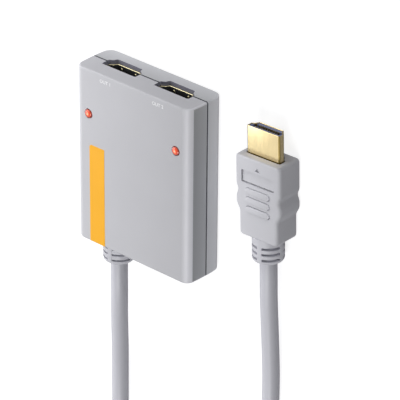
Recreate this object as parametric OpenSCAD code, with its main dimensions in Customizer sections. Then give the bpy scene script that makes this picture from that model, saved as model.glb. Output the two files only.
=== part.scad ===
// Two-way video splitter box with a captive lead and plug, lying on its rear face.
// X runs to the right of the box, Y towards its sockets and Z out of its front face.

/* [Case] */
// Width of the case across the parting line
case_w = 52; // [50:0.5:64]
// Length of the case from the cable end to the socket end
case_h = 66; // [64:0.5:84]
// Depth of the case from the rear face to the front face
case_d = 17; // [16:0.25:22]
// Height of the parting line above the rear face
seam_z = 8; // [7.5:0.25:9]
// Wall thickness of both shells
wall_t = 1.8; // [1.6:0.1:2.2]
// How far each side wall leans in from the parting line
side_lean = 0.3; // [0.05:0.05:0.6]
// Radius of the rear corners
rear_corner_r = 3.6; // [2.4:0.2:4.4]
// Radius of the front corners
front_corner_r = 3.2; // [2.4:0.2:4.4]
// Angle at which the front corners meet the side walls in a crease
crease_deg = 14; // [4:1:24]
// Rounding of the edges round both ends
end_edge_r = 0.7; // [0.3:0.1:1.2]
// Width of the groove along the parting line
seam_gap_w = 0.4; // [0.2:0.05:0.6]
// Depth of the groove along the parting line
seam_gap_depth = 0.5; // [0.3:0.05:0.6]
// Height of the locating lip on the rear shell
lip_h = 1.2; // [0.8:0.1:2]
// Thickness of the locating lip
lip_t = 0.8; // [0.6:0.05:0.9]
// Clearance round the locating lip
lip_gap = 0.1; // [0.05:0.05:0.15]

/* [Fasteners] */
// Distance of the screws from the sides of the case
screw_side = 5; // [4.8:0.1:5.3]
// Distance of the lower screws from the cable end
screw_low_end = 9; // [8.5:0.5:12]
// Distance of the upper screws from the socket end
screw_high_end = 24; // [23.5:0.5:28]
// Diameter of the screw shanks
screw_d = 2; // [1.6:0.1:2.4]
// Length of the screw shanks
screw_l = 8.5; // [7:0.5:11]
// Diameter of the screw heads
screw_head_d = 3.8; // [3.4:0.1:4.2]
// Height of the screw heads
screw_head_h = 1.3; // [1:0.1:1.5]
// Depth of the screw heads below the rear face
screw_sink = 0.2; // [0:0.05:0.4]
// Diameter of the bosses round the screws
boss_d = 5; // [4.6:0.1:5.2]
// Clearance round screw shanks and heads
screw_gap = 0.2; // [0.05:0.05:0.3]

/* [Circuit board] */
// Height of the board above the inside of the rear shell
standoff_h = 1.7; // [1.4:0.1:2.2]
// Thickness of the board
board_t = 1.6; // [1:0.1:1.8]
// Clearance between the board and the case
board_gap = 0.6; // [0.3:0.1:1]
// Distance of the board's lower edge from the cable end of the case
board_low_end = 5; // [4.6:0.2:6]
// Length of the notch that lets the cable in
notch_l = 8; // [7:0.5:9]
// Clearance round the cable in the notch
notch_gap = 0.5; // [0.3:0.1:0.8]
// Side of the splitter chip
chip_side = 10; // [7:0.5:11]
// Thickness of the splitter chip
chip_t = 1.4; // [0.8:0.1:2]
// Distance of the chip's centre from the socket end of the case
chip_end = 31; // [30:0.5:34]
// Number of pins on each side of the chip
pins_per_side = 12; // [6:1:14]

/* [Sockets] */
// Distance between the centres of the two sockets
socket_pitch = 23.8; // [22:0.2:25]
// Depth of the sockets' rims below the end face
socket_rim = 1.4; // [1:0.1:1.6]
// Length of the sockets
socket_l = 11.5; // [10:0.5:12.5]
// Sheet thickness of the sockets' shells
socket_sheet = 0.35; // [0.25:0.05:0.4]
// Clearance of a plug in a socket
mate_gap = 0.05; // [0.03:0.01:0.1]
// Clearance of the case round the sockets
socket_gap = 0.3; // [0.15:0.05:0.4]
// Width of the sockets' tongues
tongue_w = 11.2; // [10.6:0.1:11.4]
// Thickness of the sockets' tongues
tongue_t = 1.6; // [1.4:0.05:1.7]
// Depth of the tongues behind the sockets' rims
tongue_back = 1.2; // [0.8:0.1:2]
// Length of the insulator behind the tongues
insulator_l = 3; // [2:0.25:4]
// Width of one contact
contact_w = 0.35; // [0.25:0.05:0.4]
// Thickness of one contact
contact_t = 0.15; // [0.1:0.01:0.18]

/* [Indicators] */
// Diameter of the indicator lamps
led_d = 3.1; // [2.8:0.1:3.6]
// Distance of the lamps from the sides of the case
led_side = 6.1; // [5.6:0.1:7]
// Distance of the lamps from the socket end
led_end = 16.8; // [16.4:0.1:17.4]
// Height of the lamps' domes above the front face
led_proud = 0.5; // [0.2:0.05:0.8]
// Height of the rounded part of the domes
led_dome_h = 0.8; // [0.4:0.1:1.4]
// Width of the step round the lamps' bases
led_flange = 0.45; // [0.3:0.05:0.6]
// Height of the step round the lamps' bases
led_flange_h = 1; // [0.6:0.1:1.4]
// Clearance of the case round the lamps
led_gap = 0.15; // [0.1:0.05:0.2]

/* [Label] */
// Width of the coloured label
label_w = 6.9; // [5:0.1:9]
// Length of the coloured label
label_l = 37.1; // [30:0.1:40]
// Thickness of the coloured label and depth of its seat
label_t = 0.2; // [0.1:0.05:0.3]
// Distance of the label from the left side of the case
label_side = 6.5; // [5:0.1:8]
// Radius of the label's upper left corner
label_r = 1.2; // [0.4:0.1:2]

/* [Lead] */
// Diameter of the lead
cable_d = 6; // [5:0.1:6.4]
// Distance of the lead from the left side of the case
gland_side = 11.6; // [11.4:0.2:13]
// Length of the strain relief outside the case
gland_l = 8.6; // [7:0.2:10]
// Wall of the strain relief's neck round the lead
gland_wall = 1.5; // [1.2:0.1:1.7]
// Step from the neck to the outside of the strain relief
gland_step = 1.1; // [0.8:0.1:1.4]
// Step from the neck to the flange inside the case
flange_step = 1; // [0.6:0.1:1.1]
// Thickness of the flange inside the case
flange_t = 2; // [1.2:0.1:2.4]
// Rounding at the free end of the strain reliefs
relief_r = 1.2; // [0.6:0.1:1.5]
// Width of the slits in the strain reliefs
slit_w = 0.9; // [0.6:0.05:1.1]
// Distance between rings of slits
slit_pitch = 2.15; // [1.8:0.05:2.3]
// Depth of the slits
slit_depth = 1.3; // [0.6:0.1:1.6]
// Width of the bridges between slits
bridge_w = 2.6; // [1.6:0.1:3.4]
// Clearance between the lead and what holds it
cable_gap = 0.05; // [0.03:0.01:0.1]
// Wall of the crimp ring on the lead
crimp_wall = 0.7; // [0.4:0.1:0.9]
// Length of the crimp ring
crimp_l = 3; // [2:0.25:3.5]
// Diameter of one wire
wire_d = 0.8; // [0.6:0.05:0.9]

/* [Plug] */
// Width of the plug's shell
plug_shell_w = 13.9; // [13.6:0.1:14.2]
// Thickness of the plug's shell
plug_shell_t = 4.45; // [4.3:0.05:4.6]
// Sheet thickness of the plug's shell
plug_sheet = 0.3; // [0.2:0.05:0.35]
// Length of the shell that shows
plug_shell_l = 10.5; // [9:0.25:12]
// Thickness of the grip
grip_t = 11; // [10:0.25:12]
// Width of the grip's head
grip_head_w = 20.2; // [19:0.2:23]
// Width of the grip's waist
grip_waist_w = 18.8; // [18.4:0.2:19]
// Width of the grip's lower part
grip_low_w = 16.6; // [16:0.2:18]
// Length of the grip
grip_l = 28.5; // [27.5:0.5:32]
// Rounding of the grip's long edges
grip_edge_r = 1.8; // [1:0.1:2.4]
// Rounding of the grip's end edges
grip_end_r = 0.7; // [0.4:0.1:1]
// Length of the strain relief on the plug
boot_l = 9; // [7.5:0.25:11]
// Wall of the plug's strain relief round the lead
boot_wall = 2.5; // [2.2:0.1:2.5]
// Height of the finger pads
pad_h = 0.35; // [0.2:0.05:0.6]
// Length of the finger pads
pad_l = 10; // [7:0.5:12]
// Width of the finger pads
pad_w = 2.2; // [1.6:0.1:2.6]
// Distance between the finger pads
pad_pitch = 3.35; // [2.8:0.05:3.5]
// Depth of the panel in the grip's head
panel_depth = 0.35; // [0.2:0.05:0.6]
// Width of the panel
panel_w = 14; // [10:0.5:16]
// Length of the panel
panel_l = 4.6; // [3:0.2:5]
// Width of the shield can in the grip
can_w = 15.4; // [15:0.1:15.8]
// Thickness of the shield can
can_t = 6.6; // [6.2:0.1:7]
// Turn of the plug where it lies
plug_turn = 2; // [0:0.5:5]

/* [Hidden] */

$fn = 48;
corner_steps = 10;
edge_steps = 5;
least_r = 0.4;
over = 1;

grey = "#b7b8bd";
dark_grey = "#8f9298";
gold = "#d9bb7c";
steel = "#b9bcc0";
black = "#22242a";
orange = "#fdba3b";
lamp_red = "#e8502a";
board_green = "#2c6e49";

front_inside = case_d - wall_t;

// Screws and the crosses in their heads
screw_seat = screw_sink + screw_head_h;
screw_spots = [for (x = [-1, 1], y = [screw_low_end - case_h / 2, case_h / 2 - screw_high_end])
    [x * (case_w / 2 - screw_side), y]];
cross_l = 2.3;
cross_w = 0.6;
cross_depth = 0.6;

// Board and chip
board_z = wall_t + standoff_h;
board_top = board_z + board_t;
board_half = case_w / 2 - wall_t - side_lean - board_gap;
board_y0 = board_low_end - case_h / 2;
board_y1 = case_h / 2 - wall_t - board_gap;
notch_end = board_y0 + notch_l;
chip_y = case_h / 2 - chip_end;
pin_l = 1;
pin_w = 0.3;
pin_t = 0.15;
pin_rise = 0.6;
pin_pitch = 0.7;
dot_d = 1;
dot_in = 1.2;
dot_depth = 0.15;

// Small parts on the board: sizes across, along and above it, and their places beside the chip
part_gap = 1.6;
part_pitch = 2;
power_y = chip_y - 17;
crystal_size = [5, 3.2, 1.2];
crystal_spot = [chip_side / 2 + pin_l + 3 * part_gap + crystal_size[0] / 2, chip_y - 6];
regulator_size = [6.5, 3.5, 1.6];
regulator_x = 13;
regulator_lead = [0.7, 1.5, 0.3];
regulator_leads = 3;
regulator_pitch = 2.3;
regulator_tab_w = 3;
inductor_x = 2;
inductor_plate = [5, 5, 0.6];
inductor_core_d = 4.4;
inductor_core_h = 1.4;
capacitor_size = [1.6, 0.8, 0.8];
capacitors_per_side = 6;
resistor_size = [0.8, 1.6, 0.45];
resistor_count = 10;
surge_size = [2.5, 1, 0.6];
surge_offset = 2.2;
surge_back = 4.2;

// Sockets: the outline they share with the plug, contacts, legs and spring fingers
shell_side = 2.35;
step_x = 1.25;
step_drop = 0.75;
foot_x = 0.6;
fit_gap = 0.04;
socket_grow = mate_gap + socket_sheet;
socket_y1 = case_h / 2 - socket_rim;
socket_y0 = socket_y1 - socket_l;
socket_z = board_top + plug_shell_t / 2 + socket_grow;
tongue_tip = socket_y1 - tongue_back;
insulator_front = socket_y0 + insulator_l;
contact_pitch = 1;
front_contacts = 10;
rear_contacts = 9;
contact_foot = 1.2;
contact_tip = 0.6;
socket_rows = [[front_contacts, tongue_t / 2], [rear_contacts, -tongue_t / 2 - contact_t]];
leg_w = 1.6;
leg_low = 2;
leg_high = 4;
leg_gap = 0.15;
leg_through = 0.6;
leg_spots = [for (s = [-1, 1], side = [-1, 1], y = [socket_y0 + leg_low, socket_y1 - leg_high])
    [s * socket_pitch / 2 + side * (plug_shell_w / 2 + socket_grow - socket_sheet / 2), y]];
finger_w = 1.5;
finger_l = 5;
finger_slit = 0.5;
finger_x = 3.2;
finger_back = 2;

// Lamps, their leads and the spacers under them
led_x = case_w / 2 - led_side;
led_y = case_h / 2 - led_end;
led_base = front_inside - led_flange_h;
lead_pitch = 1.6;
lead_w = 0.5;
lead_through = 0.8;
lead_spots = [for (s = [-1, 1], side = [-1, 1]) [s * led_x + side * lead_pitch / 2, led_y]];
spacer_wall = 0.6;

// Lead inside the case: crimp ring and wires
gland_x = gland_side - case_w / 2;
gland_end = -case_h / 2 - gland_l;
neck_d = cable_d + 2 * gland_wall;
crimp_d = cable_d + 2 * (cable_gap + crimp_wall);
crimp_back = 0.4;
slit_rings = 3;
cable_strip = 3;
tail_end = notch_end - cable_strip;
wire_count = 8;
wire_steps = 8;
wire_sides = 8;
wire_straight = 0.4;
wire_reach = 4.5;
wire_start_pitch = 0.62;
wire_start_rise = 0.7;
wire_pad_pitch = 1.1;
wire_colours = ["#c0392b", "#2e86c1", "#27ae60", "#d4ac0d"];
pad_row_y = notch_end + wire_reach;

// Plug, measured along it from the free end of its strain relief
boot_d = cable_d + 2 * boot_wall;
plug_z = max(grip_t, boot_d) / 2;
plug_spot = [51.4, -17.2, plug_z];
plug_lead_in = 7.3;
cord_sides = 12;
grip_top = boot_l + grip_l;
plug_tip = grip_top + plug_shell_l;
plug_face_back = 0.5;
plug_face = plug_tip - plug_face_back;
can_low = 10;
can_top_wall = 1;
can_sheet = 0.3;
can_y0 = boot_l + can_low;
can_y1 = grip_top - can_top_wall;
shell_hold = 4;
shell_root = can_y1 - shell_hold;
slot_l = 8;
slot_gap = 0.3;
slot_contact_gap = 0.05;
slot_w = tongue_w + 2 * slot_gap;
slot_t = tongue_t + 4 * contact_t + 2 * slot_contact_gap;
plug_contact_tip = 0.4;
plug_rows = [[front_contacts, slot_t / 2 - contact_t], [rear_contacts, -slot_t / 2]];
pad_count = 3;
pad_seat = 0.5;
first_pad_y = boot_l + 10.3;
panel_y = boot_l + 21.9;

// Stations along the grip: distance from its lower end, and width
low_l = 8.2;
bump_y0 = 12;
bump_y1 = 13.6;
waist_y = 16.2;
head_y = 18.8;
grip_keys = [[0, grip_low_w], [low_l, grip_low_w], [bump_y0, grip_head_w], [bump_y1, grip_head_w],
    [waist_y, grip_waist_w], [head_y, grip_head_w], [grip_l, grip_head_w]];
grip_steps = 4;
// Stations with the distance the outline draws in, which rounds both ends
grip_stations = concat(
    [for (a = [0:30:90]) [grip_end_r * (1 - cos(90 - a)), grip_low_w, grip_end_r * (1 - sin(a))]],
    [for (k = [0:len(grip_keys) - 2], i = [1:grip_steps])
        let (
            p = grip_keys[k],
            q = grip_keys[k + 1],
            t = i / grip_steps,
            y = p[0] + (q[0] - p[0]) * t
        )
        if (y > grip_end_r && y < grip_l - grip_end_r)
            [y, p[1] + (q[1] - p[1]) * ease(t), 0]],
    [for (a = [90:-30:0]) [grip_l - grip_end_r * (1 - cos(90 - a)), grip_head_w, grip_end_r * (1 - sin(a))]]);

// Points of the lead on its way from the strain relief to the plug: X, Y and lift off the floor
route_points = [
    [-14.4, -48, 5], [-14.5, -56, 4.9], [-15.2, -64, 4.2], [-16.3, -73, 2.9], [-17.5, -82, 1.5],
    [-18.5, -91, 0.5], [-19, -101, 0], [-19, -112, 0], [-19, -124, 0], [-17, -136, 0],
    [-11, -146.5, 0], [-1.5, -154.5, 0], [10, -158.5, 0], [22, -158.5, 0], [33.5, -154.5, 0],
    [43, -146.5, 0], [49, -136, 0], [51, -124, 0], [51.2, -112, 0], [51.4, -100, 0], [51.5, -88, 0],
    [51.6, -76, 0], [51.7, -64, 0.2], [51.8, -53, 0.9], [51.9, -42, 1.8], [51.8, -32, 2.4]];
route = concat([[gland_x, gland_end, seam_z]],
    [for (p = route_points) [p[0], p[1], p[2] + cable_d / 2]],
    [plug_spot + plug_lead_in * [sin(plug_turn), -cos(plug_turn), 0], plug_spot]);

// Evenly spaced places either side of zero
function spread(count, pitch) = [for (i = [0:count - 1]) (i - (count - 1) / 2) * pitch];
// A gentle start and finish between zero and one
function ease(t) = (1 - cos(180 * t)) / 2;
// Points of an arc about a centre, from one angle to another
function arc(c, r, a, b, n) = [for (i = [0:n]) c + r * [cos(a + (b - a) * i / n), sin(a + (b - a) * i / n)]];
// A right-hand outline and its reflection, as one closed outline
function both_sides(half) = concat(half, [for (i = [len(half) - 1:-1:0]) [-half[i][0], half[i][1]]]);
// Outward direction of the edge from one point of an outline to the next
function edge_out(p, q) = [q[1] - p[1], p[0] - q[0]] / norm(q - p);
// A closed outline moved outwards by the same distance on every edge
function grown(points, g) = [for (i = [0:len(points) - 1])
    let (
        before = edge_out(points[(i + len(points) - 1) % len(points)], points[i]),
        after = edge_out(points[i], points[(i + 1) % len(points)])
    ) points[i] + g * (before + after) / (1 + before * after)];

function rounded_rect(w, h, r, n) = both_sides(concat(
    arc([w / 2 - r, r - h / 2], r, -90, 0, n),
    arc([w / 2 - r, h / 2 - r], r, 0, 90, n)));

// Cross-section of the case: widest at the parting line, with a crease beside each front corner
function case_section(inset) =
    let (
        half = case_w / 2 - inset,
        front = case_d - inset,
        rear_r = max(rear_corner_r - inset, least_r),
        front_r = max(front_corner_r - inset, least_r),
        lean_deg = atan(side_lean / (seam_z - inset)),
        rear_x = half - side_lean * (1 - rear_r / (seam_z - inset)) - rear_r / cos(lean_deg),
        crease_z = front - front_r * (1 - sin(crease_deg)),
        crease_x = half - side_lean * (crease_z - seam_z) / (front - seam_z),
        front_x = crease_x - front_r * cos(crease_deg)
    )
    both_sides(concat(
        arc([rear_x, inset + rear_r], rear_r, -90, -lean_deg, corner_steps),
        [[half, seam_z]],
        arc([front_x, front - front_r], front_r, crease_deg, 90, corner_steps)));

// Outline of the plug's shell, with its wide side to the front and a step on each side behind it
plug_outline = let (half = plug_shell_w / 2, front = plug_shell_t / 2) both_sides([
    [half - step_x - foot_x, -front],
    [half - step_x, front - shell_side - step_drop],
    [half, front - shell_side],
    [half, front]]);

// Faces of a skin over rings of points, with a flat cap on each end
function skin_faces(rings, sides) = concat(
    [[for (j = [sides - 1:-1:0]) j], [for (j = [0:sides - 1]) (rings - 1) * sides + j]],
    [for (i = [0:rings - 2], j = [0:sides - 1])
        [i * sides + j, i * sides + (j + 1) % sides, (i + 1) * sides + (j + 1) % sides]],
    [for (i = [0:rings - 2], j = [0:sides - 1])
        [i * sides + j, (i + 1) * sides + (j + 1) % sides, (i + 1) * sides + j]]);

function unit(v) = v / norm(v);
// Rings of points round a path
function tube_points(path, d, sides) = [for (i = [0:len(path) - 1])
    let (
        along = unit(path[min(i + 1, len(path) - 1)] - path[max(i - 1, 0)]),
        across = unit(cross(along, [0, 0, 1])),
        above = cross(across, along)
    )
    for (j = [0:sides - 1])
        path[i] + d / 2 * (across * cos(360 * j / sides) + above * sin(360 * j / sides))];

module tube(path, d, sides) {
    polyhedron(tube_points(path, d, sides), skin_faces(len(path), sides));
}

module along_y(y0, y1) {
    translate([0, y1, 0])
        rotate([90, 0, 0])
            linear_extrude(y1 - y0)
                children();
}

module along_x(x0, x1) {
    translate([x0, 0, 0])
        rotate([90, 0, 90])
            linear_extrude(x1 - x0)
                children();
}

module box(x0, x1, y0, y1, z0, z1) {
    translate([x0, y0, z0])
        cube([x1 - x0, y1 - y0, z1 - z0]);
}

// A box with its centre given in X and Y, standing on a height
module block(x, y, z, w, l, h) {
    box(x - w / 2, x + w / 2, y - l / 2, y + l / 2, z, z + h);
}

module post(spot, d, z0, z1) {
    translate([spot[0], spot[1], z0])
        cylinder(d = d, h = z1 - z0);
}

module case_block() {
    intersection() {
        along_y(-case_h / 2, case_h / 2)
            polygon(case_section(0));
        linear_extrude(case_d)
            polygon(rounded_rect(case_w, case_h, end_edge_r, edge_steps));
        along_x(-case_w / 2, case_w / 2)
            translate([0, case_d / 2])
                polygon(rounded_rect(case_h, case_d, end_edge_r, edge_steps));
    }
}

module cavity() {
    along_y(wall_t - case_h / 2, case_h / 2 - wall_t)
        polygon(case_section(wall_t));
}

// A flat ring that follows the outside of the case, between two distances inside it
module wall_ring(outer_in, inner_in, z0, z1) {
    difference() {
        block(0, 0, z0, case_w - 2 * outer_in, case_h - 2 * outer_in, z1 - z0);
        block(0, 0, z0 - over, case_w - 2 * inner_in, case_h - 2 * inner_in, z1 - z0 + 2 * over);
    }
}

module seam_groove() {
    wall_ring(-over, seam_gap_depth, seam_z - seam_gap_w / 2, seam_z + seam_gap_w / 2);
}

module socket_cutouts() {
    for (x = [-1, 1] * socket_pitch / 2)
        translate([x, 0, socket_z])
            along_y(case_h / 2 - wall_t - over, case_h / 2 + over)
                polygon(grown(plug_outline, socket_grow + socket_gap));
}

module gland_hole() {
    translate([gland_x, -case_h / 2 - over, seam_z])
        rotate([-90, 0, 0])
            cylinder(d = neck_d + 2 * cable_gap, h = wall_t + 2 * over);
}

module label_seat(t) {
    x0 = label_side - case_w / 2;
    y0 = end_edge_r - case_h / 2;
    translate([0, 0, case_d - label_t])
        linear_extrude(t)
            polygon(concat(
                [[x0, y0], [x0 + label_w, y0], [x0 + label_w, y0 + label_l]],
                arc([x0 + label_r, y0 + label_l - label_r], label_r, 90, 180, edge_steps)));
}

module front_shell() {
    color(grey)
        difference() {
            union() {
                difference() {
                    intersection() {
                        case_block();
                        box(-case_w, case_w, -case_h, case_h, seam_z, case_d + over);
                    }
                    cavity();
                }
                for (spot = screw_spots)
                    post(spot, boss_d, board_top, front_inside + wall_t / 2);
            }
            seam_groove();
            wall_ring(wall_t - lip_t - lip_gap, wall_t + lip_gap, seam_z - over, seam_z + lip_h + lip_gap);
            socket_cutouts();
            gland_hole();
            label_seat(label_t + over);
            for (x = [-1, 1])
                post([x * led_x, led_y], led_d + 2 * led_gap, front_inside - over, case_d + over);
            for (spot = screw_spots)
                post(spot, screw_d + cable_gap, board_top - over, screw_seat + screw_l + over);
        }
}

module rear_shell() {
    color(dark_grey)
        difference() {
            union() {
                difference() {
                    intersection() {
                        case_block();
                        box(-case_w, case_w, -case_h, case_h, -over, seam_z);
                    }
                    cavity();
                }
                wall_ring(wall_t - lip_t, wall_t, seam_z - over, seam_z + lip_h);
                for (spot = screw_spots)
                    post(spot, boss_d, wall_t / 2, board_z);
            }
            seam_groove();
            socket_cutouts();
            gland_hole();
            for (spot = screw_spots) {
                post(spot, screw_head_d + 2 * screw_gap, -over, screw_seat);
                post(spot, screw_d + 2 * screw_gap, 0, board_z + over);
            }
        }
}

module case_screws() {
    color(steel)
        for (spot = screw_spots)
            difference() {
                union() {
                    post(spot, screw_head_d, screw_sink, screw_seat);
                    post(spot, screw_d, screw_seat, screw_seat + screw_l);
                }
                block(spot[0], spot[1], screw_sink - over, cross_l, cross_w, over + cross_depth);
                block(spot[0], spot[1], screw_sink - over, cross_w, cross_l, over + cross_depth);
            }
}

module circuit_board() {
    color(board_green)
        difference() {
            box(-board_half, board_half, board_y0, board_y1, board_z, board_top);
            block(gland_x, board_y0, board_z - over, crimp_d + 2 * notch_gap, 2 * notch_l,
                board_t + 2 * over);
            for (spot = screw_spots)
                post(spot, screw_d + 2 * screw_gap, board_z - over, board_top + over);
            for (spot = leg_spots)
                block(spot[0], spot[1], board_z - over, socket_sheet + 2 * leg_gap, leg_w + 2 * leg_gap,
                    board_t + 2 * over);
            for (spot = lead_spots)
                block(spot[0], spot[1], board_z - over, lead_w + 2 * leg_gap, lead_w + 2 * leg_gap,
                    board_t + 2 * over);
        }
}

module splitter_chip() {
    color(black)
        difference() {
            block(0, chip_y, board_top, chip_side, chip_side, chip_t);
            post([dot_in - chip_side / 2, chip_y + chip_side / 2 - dot_in], dot_d,
                board_top + chip_t - dot_depth, board_top + chip_t + over);
        }
}

// One pin: out of the chip's side, down beside it and along the board
module chip_pin() {
    box(0, pin_l / 2, -pin_w / 2, pin_w / 2, pin_rise - pin_t, pin_rise);
    box(pin_l / 2 - pin_t, pin_l / 2, -pin_w / 2, pin_w / 2, 0, pin_rise);
    box(pin_l / 2 - pin_t, pin_l, -pin_w / 2, pin_w / 2, 0, pin_t);
}

module chip_pins() {
    color(steel)
        translate([0, chip_y, board_top])
            for (turn = [0:90:270], y = spread(pins_per_side, pin_pitch))
                rotate([0, 0, turn])
                    translate([chip_side / 2, y, 0])
                        chip_pin();
}

// A part of a given size, standing on the board at a spot
module on_board(x, y, size, lift = 0) {
    block(x, y, board_top + lift, size[0], size[1], size[2]);
}

module clock_crystal() {
    color(steel)
        on_board(crystal_spot[0], crystal_spot[1], crystal_size);
}

module voltage_regulator() {
    reach = (regulator_size[1] + regulator_lead[1]) / 2;
    color(black) {
        on_board(regulator_x, power_y, regulator_size);
        on_board(regulator_x, power_y + reach,
            [regulator_tab_w, regulator_lead[1], regulator_lead[2]]);
        for (x = spread(regulator_leads, regulator_pitch))
            on_board(regulator_x + x, power_y - reach, regulator_lead);
    }
}

module power_inductor() {
    core_top = inductor_plate[2] + inductor_core_h;
    color("#4a4c50") {
        on_board(inductor_x, power_y, inductor_plate);
        post([inductor_x, power_y], inductor_core_d, board_top + inductor_plate[2], board_top + core_top);
        on_board(inductor_x, power_y, inductor_plate, core_top);
    }
}

module chip_capacitors() {
    x = chip_side / 2 + pin_l + part_gap;
    color("#b08d57")
        for (side = [-1, 1], y = spread(capacitors_per_side, part_pitch))
            on_board(side * x, chip_y + y, capacitor_size);
}

module chip_resistors() {
    y = chip_y + chip_side / 2 + pin_l + part_gap;
    color(black)
        for (x = spread(resistor_count, part_pitch))
            on_board(x, y, resistor_size);
}

module surge_arrays() {
    color(black)
        for (s = [-1, 1], side = [-1, 1])
            on_board(s * socket_pitch / 2 + side * surge_offset, socket_y0 - surge_back, surge_size);
}

module socket_shell(x) {
    top = socket_z + plug_shell_t / 2 + mate_gap;
    finger_y = socket_y1 - finger_back;
    color(gold)
        difference() {
            union() {
                translate([x, 0, socket_z])
                    along_y(socket_y0, socket_y1)
                        difference() {
                            polygon(grown(plug_outline, socket_grow));
                            polygon(grown(plug_outline, mate_gap));
                        }
                for (spot = leg_spots)
                    if (abs(spot[0] - x) < socket_pitch / 2)
                        block(spot[0], spot[1], board_z - leg_through, socket_sheet, leg_w,
                            socket_z - board_z + leg_through);
            }
            for (side = [-1, 1], edge = [-1, 1])
                block(x + side * finger_x + edge * (finger_w + finger_slit) / 2, finger_y - finger_l / 2,
                    top - over / 2, finger_slit, finger_l, over);
            for (side = [-1, 1])
                block(x + side * finger_x, finger_y - finger_slit / 2, top - over / 2,
                    finger_w + finger_slit, finger_slit, over);
        }
}

module socket_insulator(x) {
    color(black)
        difference() {
            union() {
                translate([x, 0, socket_z])
                    along_y(socket_y0, insulator_front)
                        polygon(grown(plug_outline, mate_gap - fit_gap));
                box(x - tongue_w / 2, x + tongue_w / 2, insulator_front - over, tongue_tip,
                    socket_z - tongue_t / 2, socket_z + tongue_t / 2);
            }
            for (row = socket_rows)
                for (across = spread(row[0], contact_pitch))
                    box(x + across - contact_w / 2 - fit_gap, x + across + contact_w / 2 + fit_gap,
                        socket_y0 - over, insulator_front + over,
                        socket_z + row[1], socket_z + row[1] + contact_t);
        }
}

// Each contact runs along the tongue, through the insulator, down behind it and along the board
module socket_contacts(x) {
    color(gold)
        for (row = socket_rows)
            for (across = spread(row[0], contact_pitch)) {
                x0 = x + across - contact_w / 2;
                x1 = x + across + contact_w / 2;
                z0 = socket_z + row[1];
                z1 = socket_z + row[1] + contact_t;
                box(x0, x1, socket_y0 - contact_t, tongue_tip - contact_tip, z0, z1);
                box(x0, x1, socket_y0 - contact_t, socket_y0, board_top, z1);
                box(x0, x1, socket_y0 - contact_foot, socket_y0, board_top, board_top + contact_t);
            }
}

module led(side) {
    dome = led_d / 2;
    straight = case_d + led_proud - led_dome_h;
    color(lamp_red)
        translate([side * led_x, led_y, 0])
            difference() {
                rotate_extrude()
                    polygon(concat(
                        [[0, led_base], [dome + led_flange, led_base], [dome + led_flange, front_inside]],
                        [[dome, front_inside]],
                        [for (a = [0:10:90]) [dome * cos(a), straight + led_dome_h * sin(a)]]));
                for (end = [-1, 1])
                    block(end * lead_pitch / 2, 0, led_base - over, lead_w, lead_w, over + led_flange_h / 2);
            }
}

module led_spacers() {
    color("#e8e6df")
        for (side = [-1, 1])
            difference() {
                post([side * led_x, led_y], led_d + 2 * led_flange, board_top, led_base);
                post([side * led_x, led_y], led_d + 2 * led_flange - 2 * spacer_wall, board_top - over,
                    led_base + over);
            }
}

module led_leads() {
    foot = board_z - lead_through;
    color(steel)
        for (spot = lead_spots)
            block(spot[0], spot[1], foot, lead_w, lead_w, led_base + led_flange_h / 2 - foot);
}

module accent_label() {
    color(orange)
        label_seat(label_t);
}

// A rubber sleeve round the lead, standing on Z with its free end at zero, and its rings of slits
module relief(d, outline_end) {
    bore_r = cable_d / 2 + cable_gap;
    difference() {
        rotate_extrude()
            polygon(concat(
                [[bore_r, 0]],
                arc([d / 2 - relief_r, relief_r], relief_r, -90, 0, edge_steps),
                outline_end));
        for (i = [0:slit_rings - 1])
            translate([0, 0, relief_r + i * slit_pitch])
                difference() {
                    cylinder(d = d + 2 * over, h = slit_w);
                    translate([0, 0, -over])
                        cylinder(d = d - 2 * slit_depth, h = slit_w + 2 * over);
                    block(0, 0, -over, 3 * d, bridge_w, slit_w + 2 * over);
                    block(0, 0, -over, bridge_w, 3 * d, slit_w + 2 * over);
                }
    }
}

module cable_gland() {
    outside_r = neck_d / 2 + gland_step;
    flange_r = neck_d / 2 + flange_step;
    bore_r = cable_d / 2 + cable_gap;
    inside = gland_l + wall_t + cable_gap;
    color(grey)
        translate([gland_x, gland_end, seam_z])
            rotate([-90, 0, 0])
                relief(2 * outside_r, [
                    [outside_r, gland_l], [neck_d / 2, gland_l],
                    [neck_d / 2, inside], [flange_r, inside],
                    [flange_r, inside + flange_t], [bore_r, inside + flange_t]]);
}

module cable_tail() {
    color(grey)
        translate([gland_x, gland_end, seam_z])
            rotate([-90, 0, 0])
                cylinder(d = cable_d, h = tail_end - gland_end);
}

module crimp_ring() {
    color("#b5913f")
        translate([gland_x, tail_end - crimp_l - crimp_back, seam_z])
            rotate([-90, 0, 0])
                difference() {
                    cylinder(d = crimp_d, h = crimp_l);
                    translate([0, 0, -over])
                        cylinder(d = cable_d + 2 * cable_gap, h = crimp_l + 2 * over);
                }
}

// Eight wires fan out from the end of the lead down to a row of pads on the board
module signal_wires() {
    starts = spread(wire_count, wire_start_pitch);
    pads = spread(wire_count, wire_pad_pitch);
    for (i = [0:wire_count - 1]) {
        rise = (i % 2 == 0 ? 1 : -1) * wire_start_rise;
        start = [gland_x + starts[i], tail_end, seam_z + rise];
        finish = [gland_x + pads[i], pad_row_y, board_top + wire_d / 2];
        color(wire_colours[i % len(wire_colours)])
            tube(concat([start], [for (k = [0:wire_steps])
                let (
                    t = k / wire_steps,
                    y0 = start[1] + wire_straight
                )
                [start[0] + (finish[0] - start[0]) * ease(t), y0 + (finish[1] - y0) * t,
                    start[2] + (finish[2] - start[2]) * ease(t)]]), wire_d, wire_sides);
    }
}

module cord() {
    color(grey)
        tube(route, cable_d, cord_sides);
}

module at_plug() {
    translate(plug_spot)
        rotate([0, 0, plug_turn])
            children();
}

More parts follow.
